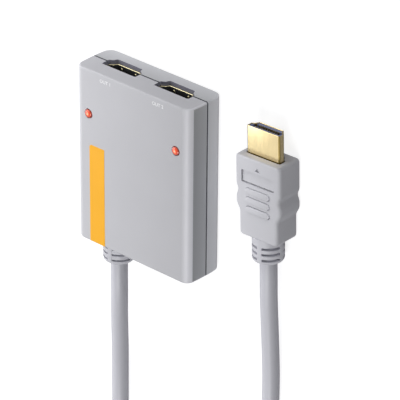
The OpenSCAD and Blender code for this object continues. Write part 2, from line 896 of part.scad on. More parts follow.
module grip_skin() {
    sides = 4 * (edge_steps + 1);
    points = [for (s = grip_stations)
        for (p = rounded_rect(s[1] - 2 * s[2], grip_t - 2 * s[2], grip_edge_r, edge_steps))
            [p[0], boot_l + s[0], p[1]]];
    polyhedron(points, skin_faces(len(grip_stations), sides));
}

module stadium(l, w, h) {
    block(0, 0, 0, l - w, w, h);
    for (side = [-1, 1])
        post([side * (l - w) / 2, 0], w, 0, h);
}

module plug_grip() {
    color(grey)
        at_plug()
            difference() {
                union() {
                    grip_skin();
                    rotate([-90, 0, 0])
                        relief(boot_d, [
                            [boot_d / 2, boot_l + over],
                            [cable_d / 2 + cable_gap, boot_l + over]]);
                    for (i = [0:pad_count - 1])
                        translate([0, first_pad_y + i * pad_pitch, grip_t / 2 - pad_seat])
                            stadium(pad_l, pad_w, pad_h + pad_seat);
                }
                block(0, panel_y, grip_t / 2 - panel_depth, panel_w, panel_l, over + panel_depth);
                rotate([-90, 0, 0])
                    translate([0, 0, -over])
                        cylinder(d = cable_d + 2 * cable_gap, h = can_y0 + 2 * over);
                along_y(can_y0 - fit_gap, can_y1 + fit_gap)
                    square([can_w + 2 * fit_gap, can_t + 2 * fit_gap], center = true);
                along_y(can_y1, grip_top + over)
                    polygon(grown(plug_outline, fit_gap));
            }
}

module plug_shield_can() {
    color(steel)
        at_plug()
            difference() {
                along_y(can_y0, can_y1)
                    square([can_w, can_t], center = true);
                along_y(can_y0 + can_sheet, can_y1 + over)
                    square([can_w - 2 * can_sheet, can_t - 2 * can_sheet], center = true);
            }
}

module plug_inner_mould() {
    inset = 2 * (can_sheet + fit_gap);
    color("#d8d8d2")
        at_plug()
            difference() {
                along_y(can_y0 + can_sheet, can_y1)
                    square([can_w - inset, can_t - inset], center = true);
                along_y(shell_root, can_y1 + over)
                    polygon(grown(plug_outline, fit_gap));
            }
}

module plug_shell() {
    color(gold)
        at_plug()
            along_y(shell_root, plug_tip)
                difference() {
                    polygon(plug_outline);
                    polygon(grown(plug_outline, -plug_sheet));
                }
}

module plug_insulator() {
    color("#505a7d")
        at_plug()
            difference() {
                along_y(shell_root, plug_face)
                    polygon(grown(plug_outline, -plug_sheet - fit_gap));
                along_y(plug_face - slot_l, plug_face + over)
                    square([slot_w, slot_t], center = true);
            }
}

module plug_contacts() {
    color(gold)
        at_plug()
            for (row = plug_rows)
                for (across = spread(row[0], contact_pitch))
                    box(across - contact_w / 2, across + contact_w / 2,
                        plug_face - slot_l, plug_face - plug_contact_tip,
                        row[1], row[1] + contact_t);
}

module plug_cable_tail() {
    color(grey)
        at_plug()
            rotate([-90, 0, 0])
                cylinder(d = cable_d, h = can_y0 - fit_gap);
}

front_shell();
rear_shell();
case_screws();
circuit_board();
splitter_chip();
chip_pins();
clock_crystal();
voltage_regulator();
power_inductor();
chip_capacitors();
chip_resistors();
surge_arrays();
socket_shell(-socket_pitch / 2);  // socket_1_shell
socket_insulator(-socket_pitch / 2);  // socket_1_insulator
socket_contacts(-socket_pitch / 2);  // socket_1_contacts
socket_shell(socket_pitch / 2);  // socket_2_shell
socket_insulator(socket_pitch / 2);  // socket_2_insulator
socket_contacts(socket_pitch / 2);  // socket_2_contacts
led(-1);  // led_1
led(1);  // led_2
led_spacers();
led_leads();
accent_label();
cable_gland();
cable_tail();
crimp_ring();
signal_wires();
cord();
plug_grip();
plug_inner_mould();
plug_shield_can();
plug_shell();
plug_insulator();
plug_contacts();
plug_cable_tail();
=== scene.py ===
import math

import bmesh
import bpy
from bpy.props import FloatProperty, FloatVectorProperty, IntProperty, PointerProperty
from bpy.types import Operator, Panel, PropertyGroup
from mathutils import Matrix, Vector


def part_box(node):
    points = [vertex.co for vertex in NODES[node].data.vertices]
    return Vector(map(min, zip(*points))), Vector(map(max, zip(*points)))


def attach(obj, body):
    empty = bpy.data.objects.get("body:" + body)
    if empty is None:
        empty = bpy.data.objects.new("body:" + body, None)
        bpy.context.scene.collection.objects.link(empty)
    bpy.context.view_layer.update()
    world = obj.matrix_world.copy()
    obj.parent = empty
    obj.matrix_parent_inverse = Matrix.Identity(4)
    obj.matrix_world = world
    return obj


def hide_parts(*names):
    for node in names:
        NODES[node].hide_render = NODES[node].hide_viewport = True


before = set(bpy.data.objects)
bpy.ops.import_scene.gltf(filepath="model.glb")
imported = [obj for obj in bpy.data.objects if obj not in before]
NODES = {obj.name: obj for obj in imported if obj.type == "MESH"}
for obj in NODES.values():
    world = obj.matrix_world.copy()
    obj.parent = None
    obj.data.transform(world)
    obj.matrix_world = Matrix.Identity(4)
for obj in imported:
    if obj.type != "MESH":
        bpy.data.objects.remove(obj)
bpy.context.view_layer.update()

bl_info = {
    "name": "Video Splitter",
    "version": (1, 0, 0),
    "blender": (4, 5, 0),
    "location": "3D View > Sidebar > Splitter",
    "description": "Builds a two-way video splitter with a captive lead and plug",
    "category": "Add Mesh",
}

PICTURE_PIXELS = 400


def mm(value):
    """Millimetres as metres."""
    return value / 1000


def srgb(code):
    """A colour written as #rrggbb, as the linear values that shaders take."""
    channels = [int(code[i:i + 2], 16) / 255 for i in (1, 3, 5)]
    return [c / 12.92 if c <= 0.04045 else ((c + 0.055) / 1.055) ** 2.4 for c in channels] + [1.0]


def size(name, text, millimetres):
    """A length that the user can change."""
    return FloatProperty(name=name, description=text, default=mm(millimetres), min=0, precision=5, unit="LENGTH")


def colour(name, text, code):
    """A colour that the user can change."""
    return FloatVectorProperty(name=name, description=text, default=srgb(code), size=4, min=0, max=1, subtype="COLOR")


def angle(name, text, degrees):
    """An angle that the user can change."""
    return FloatProperty(name=name, description=text, default=math.radians(degrees), subtype="ANGLE")


def power(name, text, watts):
    """A lamp's power that the user can change."""
    return FloatProperty(name=name, description=text, default=watts, min=0, unit="POWER")


def solid_box(node):
    """Lowest and highest corner of a solid, in millimetres."""
    low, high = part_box(node)
    return low * 1000, high * 1000


# Sizes that the solids already have, in millimetres
FRONT_LOW, FRONT_HIGH = solid_box("front_shell")
LABEL_LOW, LABEL_HIGH = solid_box("accent_label")
LAMP_LOW, LAMP_HIGH = solid_box("led_2")
SOCKET_LOW, SOCKET_HIGH = solid_box("socket_2_shell")
SCREW_SPOTS = [(-21, -24), (-21, 9), (21, -24), (21, 9)]

# The lead's way from the strain relief to the plug, in millimetres, as the solids have it
ROUTE = [
    (-14.4, -41.6, 8), (-14.4, -48, 8), (-14.5, -56, 7.9), (-15.2, -64, 7.2), (-16.3, -73, 5.9),
    (-17.5, -82, 4.5), (-18.5, -91, 3.5), (-19, -101, 3), (-19, -112, 3), (-19, -124, 3),
    (-17, -136, 3), (-11, -146.5, 3), (-1.5, -154.5, 3), (10, -158, 3), (22, -158, 3),
    (33.5, -154.5, 3), (43, -146.5, 3), (49, -136, 3), (51, -124, 3), (51.2, -112, 3),
    (51.4, -100, 3), (51.5, -88, 3), (51.6, -76, 3), (51.7, -64, 3.2), (51.8, -53, 3.9),
    (51.9, -42, 4.8), (51.8, -32, 5.4), (51.655, -24.496, 5.5), (51.4, -17.2, 5.5),
]
ROUTE_STEPS = 8
PLUG_TURN = math.radians(2)
PLUG_PLACE = Matrix.Translation([mm(v) for v in ROUTE[-1]]) @ Matrix.Rotation(PLUG_TURN, 4, "Z")
STAND_ALONG_Y = Matrix.Rotation(math.radians(-90), 4, "X")

# Finger pads on the grip
PADS = 3
# How far a cutter stands out of what it cuts
CLEAR = mm(2)


class CaseSettings(PropertyGroup):
    """Sizes and colours of the case's two shells"""
    width: size("Width", "Width of the case at the parting line", FRONT_HIGH.x - FRONT_LOW.x)
    length: size("Length", "Length of the case from the lead to the sockets", FRONT_HIGH.y - FRONT_LOW.y)
    depth: size("Depth", "Depth of the case from its rear to its front", FRONT_HIGH.z)
    seam: size("Parting Line", "Height of the parting line above the rear face", 8)
    seam_gap: size("Groove", "Width of the groove along the parting line", 0.5)
    seam_depth: size("Groove Depth", "Depth of the groove along the parting line", 1.0)
    wall: size("Wall", "Wall thickness of both shells", 1.8)
    lean: size("Lean", "How far the sides lean in from the parting line", 0.3)
    bulge: size("Bulge", "How far the sides swell between their edges", 0.05)
    rear_radius: size("Rear Corners", "Radius of the rear corners", 3.6)
    front_radius: size("Front Corners", "Radius of the front corners", 3.2)
    end_radius: size("End Edges", "Rounding of the edges round both ends", 0.7)
    edge: size("Fine Edges", "Rounding of the edges of grooves and cut-outs", 0.16)
    front_colour: colour("Front", "Colour of the front shell", "#c2c2c7")
    # The front's side walls are painted darker than the front as painted shade
    side_shade_colour: colour("Front Sides", "Colour of the front shell's side walls", "#b7b9bd")
    rear_colour: colour("Rear", "Colour of the rear shell", "#c6c7cb")
    # The rim and lip are painted dark as painted shade in the groove
    lip_shade_colour: colour("Lip", "Colour of the rear shell's rim and lip", "#7a7c82")
    # The cut-outs' walls are painted dark as painted shade in the recesses
    well_shade_colour: colour("Cut-outs", "Colour of the walls of the socket cut-outs", "#9696a6")


class SocketSettings(PropertyGroup):
    """Sizes and colours of the two sockets"""
    spacing: size("Spacing", "Distance between the sockets' centres", SOCKET_LOW.x + SOCKET_HIGH.x)
    height: size("Height", "Height of the sockets' centres above the rear face", 7.725)
    clearance: size("Clearance", "Gap of the cut-outs round a plug's outline", 0.7)
    mouth: size("Mouth", "Place of the sockets' rims along the case", SOCKET_HIGH.y)
    back: size("Back", "Place of the sockets' rear ends along the case", SOCKET_LOW.y)
    sheet: size("Sheet", "Thickness of the sockets' metal shells", 0.3)
    lip: size("Lip", "How far the shells' rims flare out", 0.1)
    finger_width: size("Finger Width", "Width of the spring fingers", 1.5)
    finger_length: size("Finger Length", "Length of the spring fingers", 5)
    insulator_colour: colour("Insulator", "Colour of the sockets' insulators", "#131417")
    gold: colour("Gold", "Colour of the sockets' plated metal", "#c8be9a")


class LampSettings(PropertyGroup):
    """Sizes and colours of the indicator lamps"""
    across: size("Across", "Distance of the lamps from the middle", (LAMP_LOW.x + LAMP_HIGH.x) / 2)
    along: size("Along", "Place of the lamps along the case", (LAMP_LOW.y + LAMP_HIGH.y) / 2)
    diameter: size("Diameter", "Diameter of the lamps", 3.1)
    top: size("Top", "Height of the lamps' domes above the rear face", LAMP_HIGH.z)
    dome: size("Dome", "Height of the rounded part of the domes", 0.8)
    gap: size("Gap", "Gap of the case round the lamps", 0.24)
    tint: colour("Tint", "Colour of the lamps", "#ef4f22")
    # The core is a painted highlight where the lit chip glows; the rim is painted shade at the domes' edge
    core: colour("Core", "Colour at the middle of the lamps", "#ffc79c")
    rim: colour("Rim", "Colour at the edge of the lamps", "#8c2410")


class LabelSettings(PropertyGroup):
    """Sizes and colours of the strip and the lettering"""
    thickness: size("Thickness", "Thickness of the film", 0.05)
    corner: size("Corner", "Radius of the upper left corner", 1.2)
    figure: size("Lettering", "Height of the lettering beside the sockets", 1.25)
    tint: colour("Tint", "Colour of the strip", "#fdb82d")
    ink: colour("Ink", "Colour of the lettering", "#fbfbfd")


class LeadSettings(PropertyGroup):
    """Sizes and colours of the lead and its strain reliefs"""
    diameter: size("Diameter", "Diameter of the lead", 6)
    sleeve_length: size("Sleeve", "Length of the strain relief outside the case", 8.6)
    sleeve_radius: size("Sleeve Radius", "Outside radius of the strain relief on the case", 5.6)
    boot_length: size("Boot", "Length of the strain relief on the plug", 9)
    boot_radius: size("Boot Radius", "Outside radius of the strain relief on the plug", 5.5)
    end_radius: size("End Rounding", "Rounding of the strain reliefs' free ends", 1.4)
    slit_width: size("Slit Width", "Width of the slits", 0.95)
    slit_depth: size("Slit Depth", "Depth of the slits", 1.3)
    slit_pitch: size("Slit Pitch", "Distance between the rings of slits", 2.15)
    bridge: size("Bridge", "Width of the bridges between slits", 1.8)
    slit_turn: angle("Slit Turn", "Turn of the slits round the lead", 6)
    rings: IntProperty(name="Rings", description="Number of rings of slits", default=3, min=1)
    jacket_colour: colour("Jacket", "Colour of the lead", "#d0d0d8")
    sleeve_colour: colour("Sleeve", "Colour of the strain reliefs", "#d0d0d7")


class PlugSettings(PropertyGroup):
    """Sizes and colours of the plug"""
    grip_length: size("Grip Length", "Length of the grip", 29.2)
    grip_depth: size("Grip Depth", "Thickness of the grip", 10.5)
    head_width: size("Head", "Width of the grip's head", 19.4)
    waist_width: size("Waist", "Width of the grip's waist", 18.0)
    low_width: size("Lower Part", "Width of the grip's lower part", 16.5)
    edge_radius: size("Edges", "Rounding of the grip's long edges", 1.2)
    end_radius: size("Ends", "Rounding of the grip's ends", 0.7)
    corner_radius: size("Corners", "Rounding of the grip's corners", 1.3)
    pad_length: size("Pad Length", "Length of the finger pads", 10)
    pad_width: size("Pad Width", "Width of the finger pads", 2.2)
    pad_pitch: size("Pad Pitch", "Distance between the finger pads", 3.35)
    pad_height: size("Pad Height", "Height of the finger pads", 0.45)
    panel_width: size("Panel Width", "Width of the sunk panel", 14)
    panel_length: size("Panel Length", "Length of the sunk panel", 4.6)
    panel_depth: size("Panel Depth", "Depth of the sunk panel", 0.5)
    shell_length: size("Shell Length", "Length of the metal shell that shows", 9.8)
    sheet: size("Sheet", "Thickness of the metal shell", 0.3)
    contact_pitch: size("Contact Pitch", "Distance between contacts", 1)
    contacts: IntProperty(name="Contacts", description="Contacts in the longer row", default=10, min=2)
    grip_colour: colour("Grip", "Colour of the grip", "#cdcdd3")
    insulator_colour: colour("Insulator", "Colour of the plug's insulator", "#6a7398")
    gold: colour("Gold", "Colour of the plated metal", "#e6d2a2")
    # The bends and foot are painted darker as a painted dark reflection and painted shadow
    bend_shade_gold: colour("Bends", "Colour of the plated metal along its bends", "#7d6b3c")


class StageSettings(PropertyGroup):
    """The camera, the floor and the light"""
    turn: angle("Turn", "Camera's turn to the right of the front", 42.92)
    rise: angle("Rise", "Camera's rise towards the sockets", 28.12)
    distance: size("Distance", "Distance of the camera from the case", 1000)
    scale: FloatProperty(name="Scale", description="Pixels for each metre at the case", default=2959.1, min=1)
    aim: FloatVectorProperty(
        name="Aim", description="Where the case's centre falls in the picture, in pixels",
        default=(148.7, 166.2), size=2)
    floor_colour: colour("Floor", "Colour of the floor", "#a0a0a2")
    key: power("Key", "Power of the light on the left", 1.03)
    front: power("Front", "Power of the light over the front", 1.9)
    top: power("Top", "Power of the light beyond the sockets", 6.6)
    sky: FloatProperty(name="Sky", description="Strength of the light from all round", default=0.02, min=0)


class SplitterSettings(PropertyGroup):
    """All settings of the splitter"""
    case: PointerProperty(type=CaseSettings)
    sockets: PointerProperty(type=SocketSettings)
    lamps: PointerProperty(type=LampSettings)
    label: PointerProperty(type=LabelSettings)
    lead: PointerProperty(type=LeadSettings)
    plug: PointerProperty(type=PlugSettings)
    stage: PointerProperty(type=StageSettings)


# Outlines: lists of points in a plane, against the clock

def arc(centre, radius, start, end, steps):
    """Points of an arc between two angles in degrees."""
    turns = [math.radians(start + (end - start) * i / steps) for i in range(steps + 1)]
    return [(centre[0] + radius * math.cos(t), centre[1] + radius * math.sin(t)) for t in turns]


def both_sides(half):
    """A right-hand outline joined to its reflection."""
    return half + [(-x, y) for x, y in reversed(half)]


CORNER_POINTS = 7


def filleted(corners, radius, steps=CORNER_POINTS - 1):
    """An outline with each of its corners rounded."""
    points = []
    for i, corner in enumerate(corners):
        here = Vector(corner)
        back = (Vector(corners[i - 1]) - here).normalized()
        ahead = (Vector(corners[(i + 1) % len(corners)]) - here).normalized()
        half = back.angle(ahead) / 2
        start = here + back * (radius / math.tan(half))
        middle = here + (back + ahead).normalized() * (radius / math.sin(half))
        first = start - middle
        sweep = math.copysign(math.pi - 2 * half, back.x * ahead.y - back.y * ahead.x)
        for k in range(steps + 1):
            spoke = Matrix.Rotation(-sweep * k / steps, 2) @ first
            points.append(tuple(middle + spoke))
    return points


def grown(outline, distance):
    """An outline moved outwards by the same distance all round."""
    count = len(outline)
    sides = []
    for i in range(count):
        run = Vector(outline[(i + 1) % count]) - Vector(outline[i])
        sides.append(Vector((run.y, -run.x)).normalized())
    moved = []
    for i in range(count):
        before, after = sides[i - 1], sides[i]
        moved.append(tuple(Vector(outline[i]) + (before + after) * (distance / (1 + before.dot(after)))))
    return moved


def rectangle(width, height):
    """Corners of a rectangle round the origin."""
    return [(width / 2, -height / 2), (width / 2, height / 2), (-width / 2, height / 2), (-width / 2, -height / 2)]


def shifted(outline, x, y):
    """An outline moved sideways and upwards."""
    return [(px + x, py + y) for px, py in outline]


def connector(growth, radius):
    """Outline of a plug's shell, wide side to the front, grown and with rounded corners."""
    half = [(mm(x), mm(z)) for x, z in ((5.1, -2.225), (5.7, -0.875), (6.95, -0.125), (6.95, 2.225))]
    return filleted(grown(both_sides(half), growth), radius)


def circle(centre, radius, points=48):
    """Points of a whole circle."""
    return arc(centre, radius, 0, 360 - 360 / points, points - 1)


def along_y(outline, *stations):
    """Copies of an outline in X and Z at places along Y."""
    return [[(x, y, z) for x, z in outline] for y in stations]


def along_z(outline, *stations):
    """Copies of an outline in X and Y at heights along Z."""
    return [[(x, y, z) for x, y in outline] for z in stations]


# Meshes

def skin(bm, rings, loop=False):
    """Skins a row of rings. The ends are capped, or joined to each other in a loop."""
    rows = [[bm.verts.new(point) for point in ring] for ring in rings]
    pairs = list(zip(rows, rows[1:]))
    if loop:
        pairs.append((rows[-1], rows[0]))
    for lower, upper in pairs:
        for i in range(len(lower)):
            j = (i + 1) % len(lower)
            bm.faces.new((lower[i], lower[j], upper[j], upper[i]))
    if not loop:
        bm.faces.new(rows[0])
        bm.faces.new(rows[-1])


def mesh_of(name, *skins):
    """A mesh from rows of rings, each a closed solid."""
    bm = bmesh.new()
    for rings, loop in skins:
        skin(bm, rings, loop)
    bmesh.ops.recalc_face_normals(bm, faces=bm.faces)
    mesh = bpy.data.meshes.new(name)
    bm.to_mesh(mesh)
    bm.free()
    return mesh


def solid(*rings):
    """A row of rings with capped ends."""
    return list(rings), False


def bar(name, outline, start, end):
    """A solid of one outline in X and Z between two places along Y."""
    return mesh_of(name, solid(*along_y(outline, start, end)))


def pillar(name, outline, low, high):
    """A solid of one outline in X and Y between two heights."""
    return mesh_of(name, solid(*along_z(outline, low, high)))


def turned(profile, steps=64):
    """Rings round Z of a closed profile of radii and heights."""
    round_axis = circle((0, 0), 1, steps)
    return [[(x * r, y * r, z) for x, y in round_axis] for r, z in profile], True


def shown(name, mesh):
    """A new object in the scene."""
    piece = bpy.data.objects.new(name, mesh)
    bpy.context.scene.collection.objects.link(piece)
    return piece


def modified(mesh, *steps):
    """A mesh after a row of modifiers, each given as a kind and its settings."""
    piece = shown(mesh.name, mesh)
    for kind, settings in steps:
        modifier = piece.modifiers.new(kind.lower(), kind)
        for name, value in settings.items():
            setattr(modifier, name, value)
    result = bpy.data.meshes.new_from_object(piece.evaluated_get(bpy.context.evaluated_depsgraph_get()))
    bpy.data.objects.remove(piece)
    return result


def carved(mesh, *cutters):
    """A mesh with other meshes cut out of it."""
    pieces = [shown("cutter", cutter) for cutter in cutters]
    result = modified(mesh, *[("BOOLEAN", {"object": piece, "solver": "EXACT"}) for piece in pieces])
    for piece in pieces:
        bpy.data.objects.remove(piece)
    return result


def joined(mesh, other):
    """Two overlapping meshes as one solid."""
    piece = shown("addition", other)
    result = modified(mesh, ("BOOLEAN", {"object": piece, "solver": "EXACT", "operation": "UNION"}))
    bpy.data.objects.remove(piece)
    return result


def eased(mesh, width, segments=2, crease=11, sharp=35):
    """Rounds sharp edges, keeps creases crisp and leaves flat faces flat in the light."""
    bm = bmesh.new()
    bm.from_mesh(mesh)
    bmesh.ops.dissolve_limit(bm, angle_limit=math.radians(0.05), verts=bm.verts, edges=bm.edges)
    for face in bm.faces:
        face.smooth = True
    for edge in bm.edges:
        edge.smooth = not math.radians(crease) < edge.calc_face_angle(0) < math.radians(sharp)
    bm.to_mesh(mesh)
    bm.free()
    return modified(
        mesh,
        ("BEVEL", {"width": width, "segments": segments, "limit_method": "ANGLE", "angle_limit": math.radians(sharp),
                   "miter_outer": "MITER_ARC", "use_clamp_overlap": True}),
        ("WEIGHTED_NORMAL", {"keep_sharp": True, "weight": 80}))


def place(name, mesh, materials, slot, *nodes):
    """Puts a finished piece in the frame, in place of the solids that it stands for."""
    mesh.name = name
    shares = [face.material_index for face in mesh.polygons]
    mesh.materials.clear()
    for material in materials:
        mesh.materials.append(material)
    mesh.polygons.foreach_set("material_index", shares)
    piece = shown(name, mesh)
    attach(piece, "root")
    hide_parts(*nodes)
    return piece


def dress(material, *nodes):
    """Gives solids that show as they are their finish."""
    for node in nodes:
        NODES[node].data.materials.clear()
        NODES[node].data.materials.append(material)


# Node trees

def add(tree, kind, inputs=None, **settings):
    """Adds a node with its settings, and gives its inputs values or links."""
    made = tree.nodes.new(kind)
    for name, value in settings.items():
        setattr(made, name, value)
    for name, value in (inputs or {}).items():
        if isinstance(value, bpy.types.NodeSocket):
            tree.links.new(value, made.inputs[name])
        else:
            made.inputs[name].default_value = value
    return made


def tree_with(name, sockets):
    """A geometry tree with named inputs and one geometry output."""
    tree = bpy.data.node_groups.new(name, "GeometryNodeTree")
    for label, kind in {"Geometry": "NodeSocketGeometry", **sockets}.items():
        tree.interface.new_socket(label, in_out="INPUT", socket_type=kind)
    tree.interface.new_socket("Geometry", in_out="OUTPUT", socket_type="NodeSocketGeometry")
    return tree, tree.nodes.new("NodeGroupInput").outputs


def grow(mesh, tree, values):
    """A mesh that a geometry tree makes out of another."""
    piece = shown(mesh.name, mesh)
    modifier = piece.modifiers.new("grow", "NODES")
    modifier.node_group = tree
    for item in tree.interface.items_tree:
        if item.in_out == "INPUT" and item.name in values:
            modifier[item.identifier] = values[item.name]
    result = bpy.data.meshes.new_from_object(piece.evaluated_get(bpy.context.evaluated_depsgraph_get()))
    bpy.data.objects.remove(piece)
    return result


def row_tree():
    """Copies of a shape in a straight row."""
    tree, given = tree_with("row", {
        "Count": "NodeSocketInt", "Step": "NodeSocketVector", "Finish": "NodeSocketMaterial"})
    line = add(tree, "GeometryNodeMeshLine", {"Count": given["Count"], "Offset": given["Step"]}, mode="OFFSET")
    copies = add(tree, "GeometryNodeInstanceOnPoints", {"Points": line.outputs[0], "Instance": given["Geometry"]})
    real = add(tree, "GeometryNodeRealizeInstances", {"Geometry": copies.outputs[0]})
    finish = add(tree, "GeometryNodeSetMaterial", {"Geometry": real.outputs[0], "Material": given["Finish"]})
    add(tree, "NodeGroupOutput", {"Geometry": finish.outputs[0]})
    return tree


def slit_tree():
    """Rings of slits cut into a sleeve that stands on Z, four to a ring with bridges between them."""
    measures = ("Radius", "Depth", "Width", "Bridge", "Turn", "First", "Pitch")
    tree, given = tree_with("slits", {
        **dict.fromkeys(measures, "NodeSocketFloat"), "Rings": "NodeSocketInt", "Finish": "NodeSocketMaterial"})
    # Half of a slit's cutter stands outside the sleeve, so that its face is clear of the sleeve's
    profile = add(tree, "GeometryNodeCurvePrimitiveQuadrilateral", mode="RECTANGLE")
    double = add(tree, "ShaderNodeMath", {0: given["Depth"], 1: 2.0}, operation="MULTIPLY")
    tree.links.new(double.outputs[0], profile.inputs["Width"])
    tree.links.new(given["Width"], profile.inputs["Height"])
    share = add(tree, "ShaderNodeMath", {0: given["Bridge"], 1: given["Radius"]}, operation="DIVIDE")
    sweep = add(tree, "ShaderNodeMath", {0: math.pi / 2, 1: share.outputs[0]}, operation="SUBTRACT")
    bend = add(tree, "GeometryNodeCurveArc", {
        "Resolution": 25, "Radius": given["Radius"], "Sweep Angle": sweep.outputs[0]}, mode="RADIUS")
    slit = add(tree, "GeometryNodeCurveToMesh", {
        "Curve": bend.outputs[0], "Profile Curve": profile.outputs[0], "Fill Caps": True})
    index = add(tree, "GeometryNodeInputIndex")
    offset = add(tree, "ShaderNodeMath", {0: share.outputs[0], 1: 0.5}, operation="MULTIPLY")
    turn = add(tree, "ShaderNodeMath", {
        0: index.outputs[0], 1: math.pi / 2, 2: offset.outputs[0]}, operation="MULTIPLY_ADD")
    turned_on = add(tree, "ShaderNodeMath", {0: turn.outputs[0], 1: given["Turn"]}, operation="ADD")
    spin = add(tree, "ShaderNodeCombineXYZ", {"Z": turned_on.outputs[0]})
    spots = add(tree, "GeometryNodePoints", {"Count": 4})
    ring = add(tree, "GeometryNodeInstanceOnPoints", {
        "Points": spots.outputs[0], "Instance": slit.outputs[0], "Rotation": spin.outputs[0]})
    start = add(tree, "ShaderNodeCombineXYZ", {"Z": given["First"]})
    step = add(tree, "ShaderNodeCombineXYZ", {"Z": given["Pitch"]})
    line = add(tree, "GeometryNodeMeshLine", {
        "Count": given["Rings"], "Start Location": start.outputs[0], "Offset": step.outputs[0]}, mode="OFFSET")
    rings = add(tree, "GeometryNodeInstanceOnPoints", {"Points": line.outputs[0], "Instance": ring.outputs[0]})
    real = add(tree, "GeometryNodeRealizeInstances", {"Geometry": rings.outputs[0]})
    cut = add(tree, "GeometryNodeMeshBoolean", {
        "Mesh 1": given["Geometry"], "Mesh 2": real.outputs[0]}, operation="DIFFERENCE", solver="EXACT")
    finish = add(tree, "GeometryNodeSetMaterial", {"Geometry": cut.outputs[0], "Material": given["Finish"]})
    add(tree, "NodeGroupOutput", {"Geometry": finish.outputs[0]})
    return tree


# Finishes

def finish(name, base, roughness, metallic=0.0, ior=1.5):
    """A new material with one shader, and the coordinates that its patterns follow."""
    material = bpy.data.materials.new(name)
    material.use_nodes = True
    tree = material.node_tree
    tree.nodes.clear()
    shader = add(tree, "ShaderNodeBsdfPrincipled", {
        "Base Color": base, "Roughness": roughness, "Metallic": metallic, "IOR": ior})
    add(tree, "ShaderNodeOutputMaterial", {"Surface": shader.outputs[0]})
    return material, tree, shader, add(tree, "ShaderNodeTexCoord").outputs["Object"]


def textured(name, base, roughness, grain, relief, cloud=14.0, stretch=(1, 1, 1), metallic=0.0, ior=1.5, tone=0.03,
             shine=0.5, drifts=(), faces=()):
    """A surface with a fine grain in its relief and gloss, and a broad, faint change of tone.

    Sizes are in millimetres. The tone may drift from light to dark between two places along an axis, and may
    change on faces that turn towards an axis.
    """
    material, tree, shader, place_in = finish(name, base, roughness, metallic, ior)
    shader.inputs["Specular IOR Level"].default_value = shine
    drawn = add(tree, "ShaderNodeMapping", {"Vector": place_in, "Scale": stretch}).outputs[0]
    grit = add(tree, "ShaderNodeTexNoise", {"Vector": drawn, "Scale": 1 / mm(grain), "Detail": 2.0}).outputs[0]
    broad = add(tree, "ShaderNodeTexNoise", {"Vector": place_in, "Scale": 1 / mm(cloud), "Detail": 2.0}).outputs[0]
    spans = [(broad, 0.3, 0.7, 1 - tone, 1 + tone)]
    for axis, first, last, amount in drifts:
        along = add(tree, "ShaderNodeSeparateXYZ", {0: place_in}).outputs[axis]
        spans.append((along, mm(first), mm(last), 1 + amount, 1 - amount))
    for axis, first, last, amount in faces:
        normal = add(tree, "ShaderNodeNewGeometry").outputs["Normal"]
        way = add(tree, "ShaderNodeSeparateXYZ", {0: normal}).outputs[axis]
        spans.append((way, first, last, 1, 1 + amount))
    level = 1.0
    for value, first, last, low, high in spans:
        share = add(tree, "ShaderNodeMapRange", {
            "Value": value, "From Min": first, "From Max": last, "To Min": low, "To Max": high}).outputs[0]
        level = add(tree, "ShaderNodeMath", {0: share, 1: level}, operation="MULTIPLY").outputs[0]
    tinted = add(tree, "ShaderNodeHueSaturation", {"Color": base, "Value": level})
    gloss = add(tree, "ShaderNodeMapRange", {
        "Value": grit, "From Min": 0.3, "From Max": 0.7, "To Min": roughness - 0.06, "To Max": roughness + 0.06})
    bump = add(tree, "ShaderNodeBump", {"Height": grit, "Strength": 0.35, "Distance": mm(relief)})
    tree.links.new(tinted.outputs[0], shader.inputs["Base Color"])
    tree.links.new(gloss.outputs[0], shader.inputs["Roughness"])
    tree.links.new(bump.outputs[0], shader.inputs["Normal"])
    return material


def case_plastic(name, base, drifts=(), faces=()):
    """ABS moulded in a spark-eroded tool: an even, dull satin whose grain breaks up the highlights.

    The grain is drawn at 0.45 mm, coarser than the real 0.1 mm, so that it shows. Its tone is painted shade, light on
    the left and darker on the right, and faces given to it are painted paler or darker by the way they turn, as
    painted highlights and painted shade.
    """
    return textured(name, base, roughness=0.45, grain=0.45, relief=0.01, ior=1.53, tone=0.012, shine=0.3,
                    drifts=[("X", -26, 26, 0.095), *drifts], faces=faces)


def soft_plastic(name, base, drifts=(), faces=()):
    """Soft PVC moulded over metal: smoother and duller than the case, with a slightly waxy tone."""
    return textured(name, base, roughness=0.5, grain=0.6, relief=0.01, cloud=9, ior=1.52, tone=0.015,
                    drifts=drifts, faces=faces)


def jacket_plastic(base):
    """PVC extruded over wire: smooth and satin, with faint drawn lines along the lead. Faces turning right are
    painted darker as painted shade, and faces turning towards the floor are painted paler as painted light from the
    floor.
    """
    return textured("extruded_pvc_jacket_painted_shade", base, roughness=0.42, grain=0.8, relief=0.006, cloud=18,
                    stretch=(1, 0.06, 1), ior=1.52, tone=0.015,
                    faces=[("X", 0.2, 0.95, -0.24), ("Z", 0.15, -0.65, 0.35)])


def gold_plate(name, base):
    """A thin flash of gold over nickel-plated steel sheet: pale yellow, bright, with fine rolling lines along it."""
    return textured(name, base, roughness=0.22, grain=0.6, relief=0.0004, cloud=5, stretch=(1, 0.05, 1),
                    metallic=1.0, tone=0.02)


def resin(name, base):
    """Glass-filled liquid crystal polymer: matt, with faint flow lines from the moulding gate."""
    return textured(name, base, roughness=0.55, grain=0.5, relief=0.006, cloud=3, stretch=(1, 0.25, 1),
                    ior=1.6, tone=0.08)


def tin_plate(name, base):
    """Tin-plated steel sheet and wire: a soft white metal with a slight mottle."""
    return textured(name, base, roughness=0.32, grain=0.6, relief=0.001, cloud=2, metallic=1.0, tone=0.05)


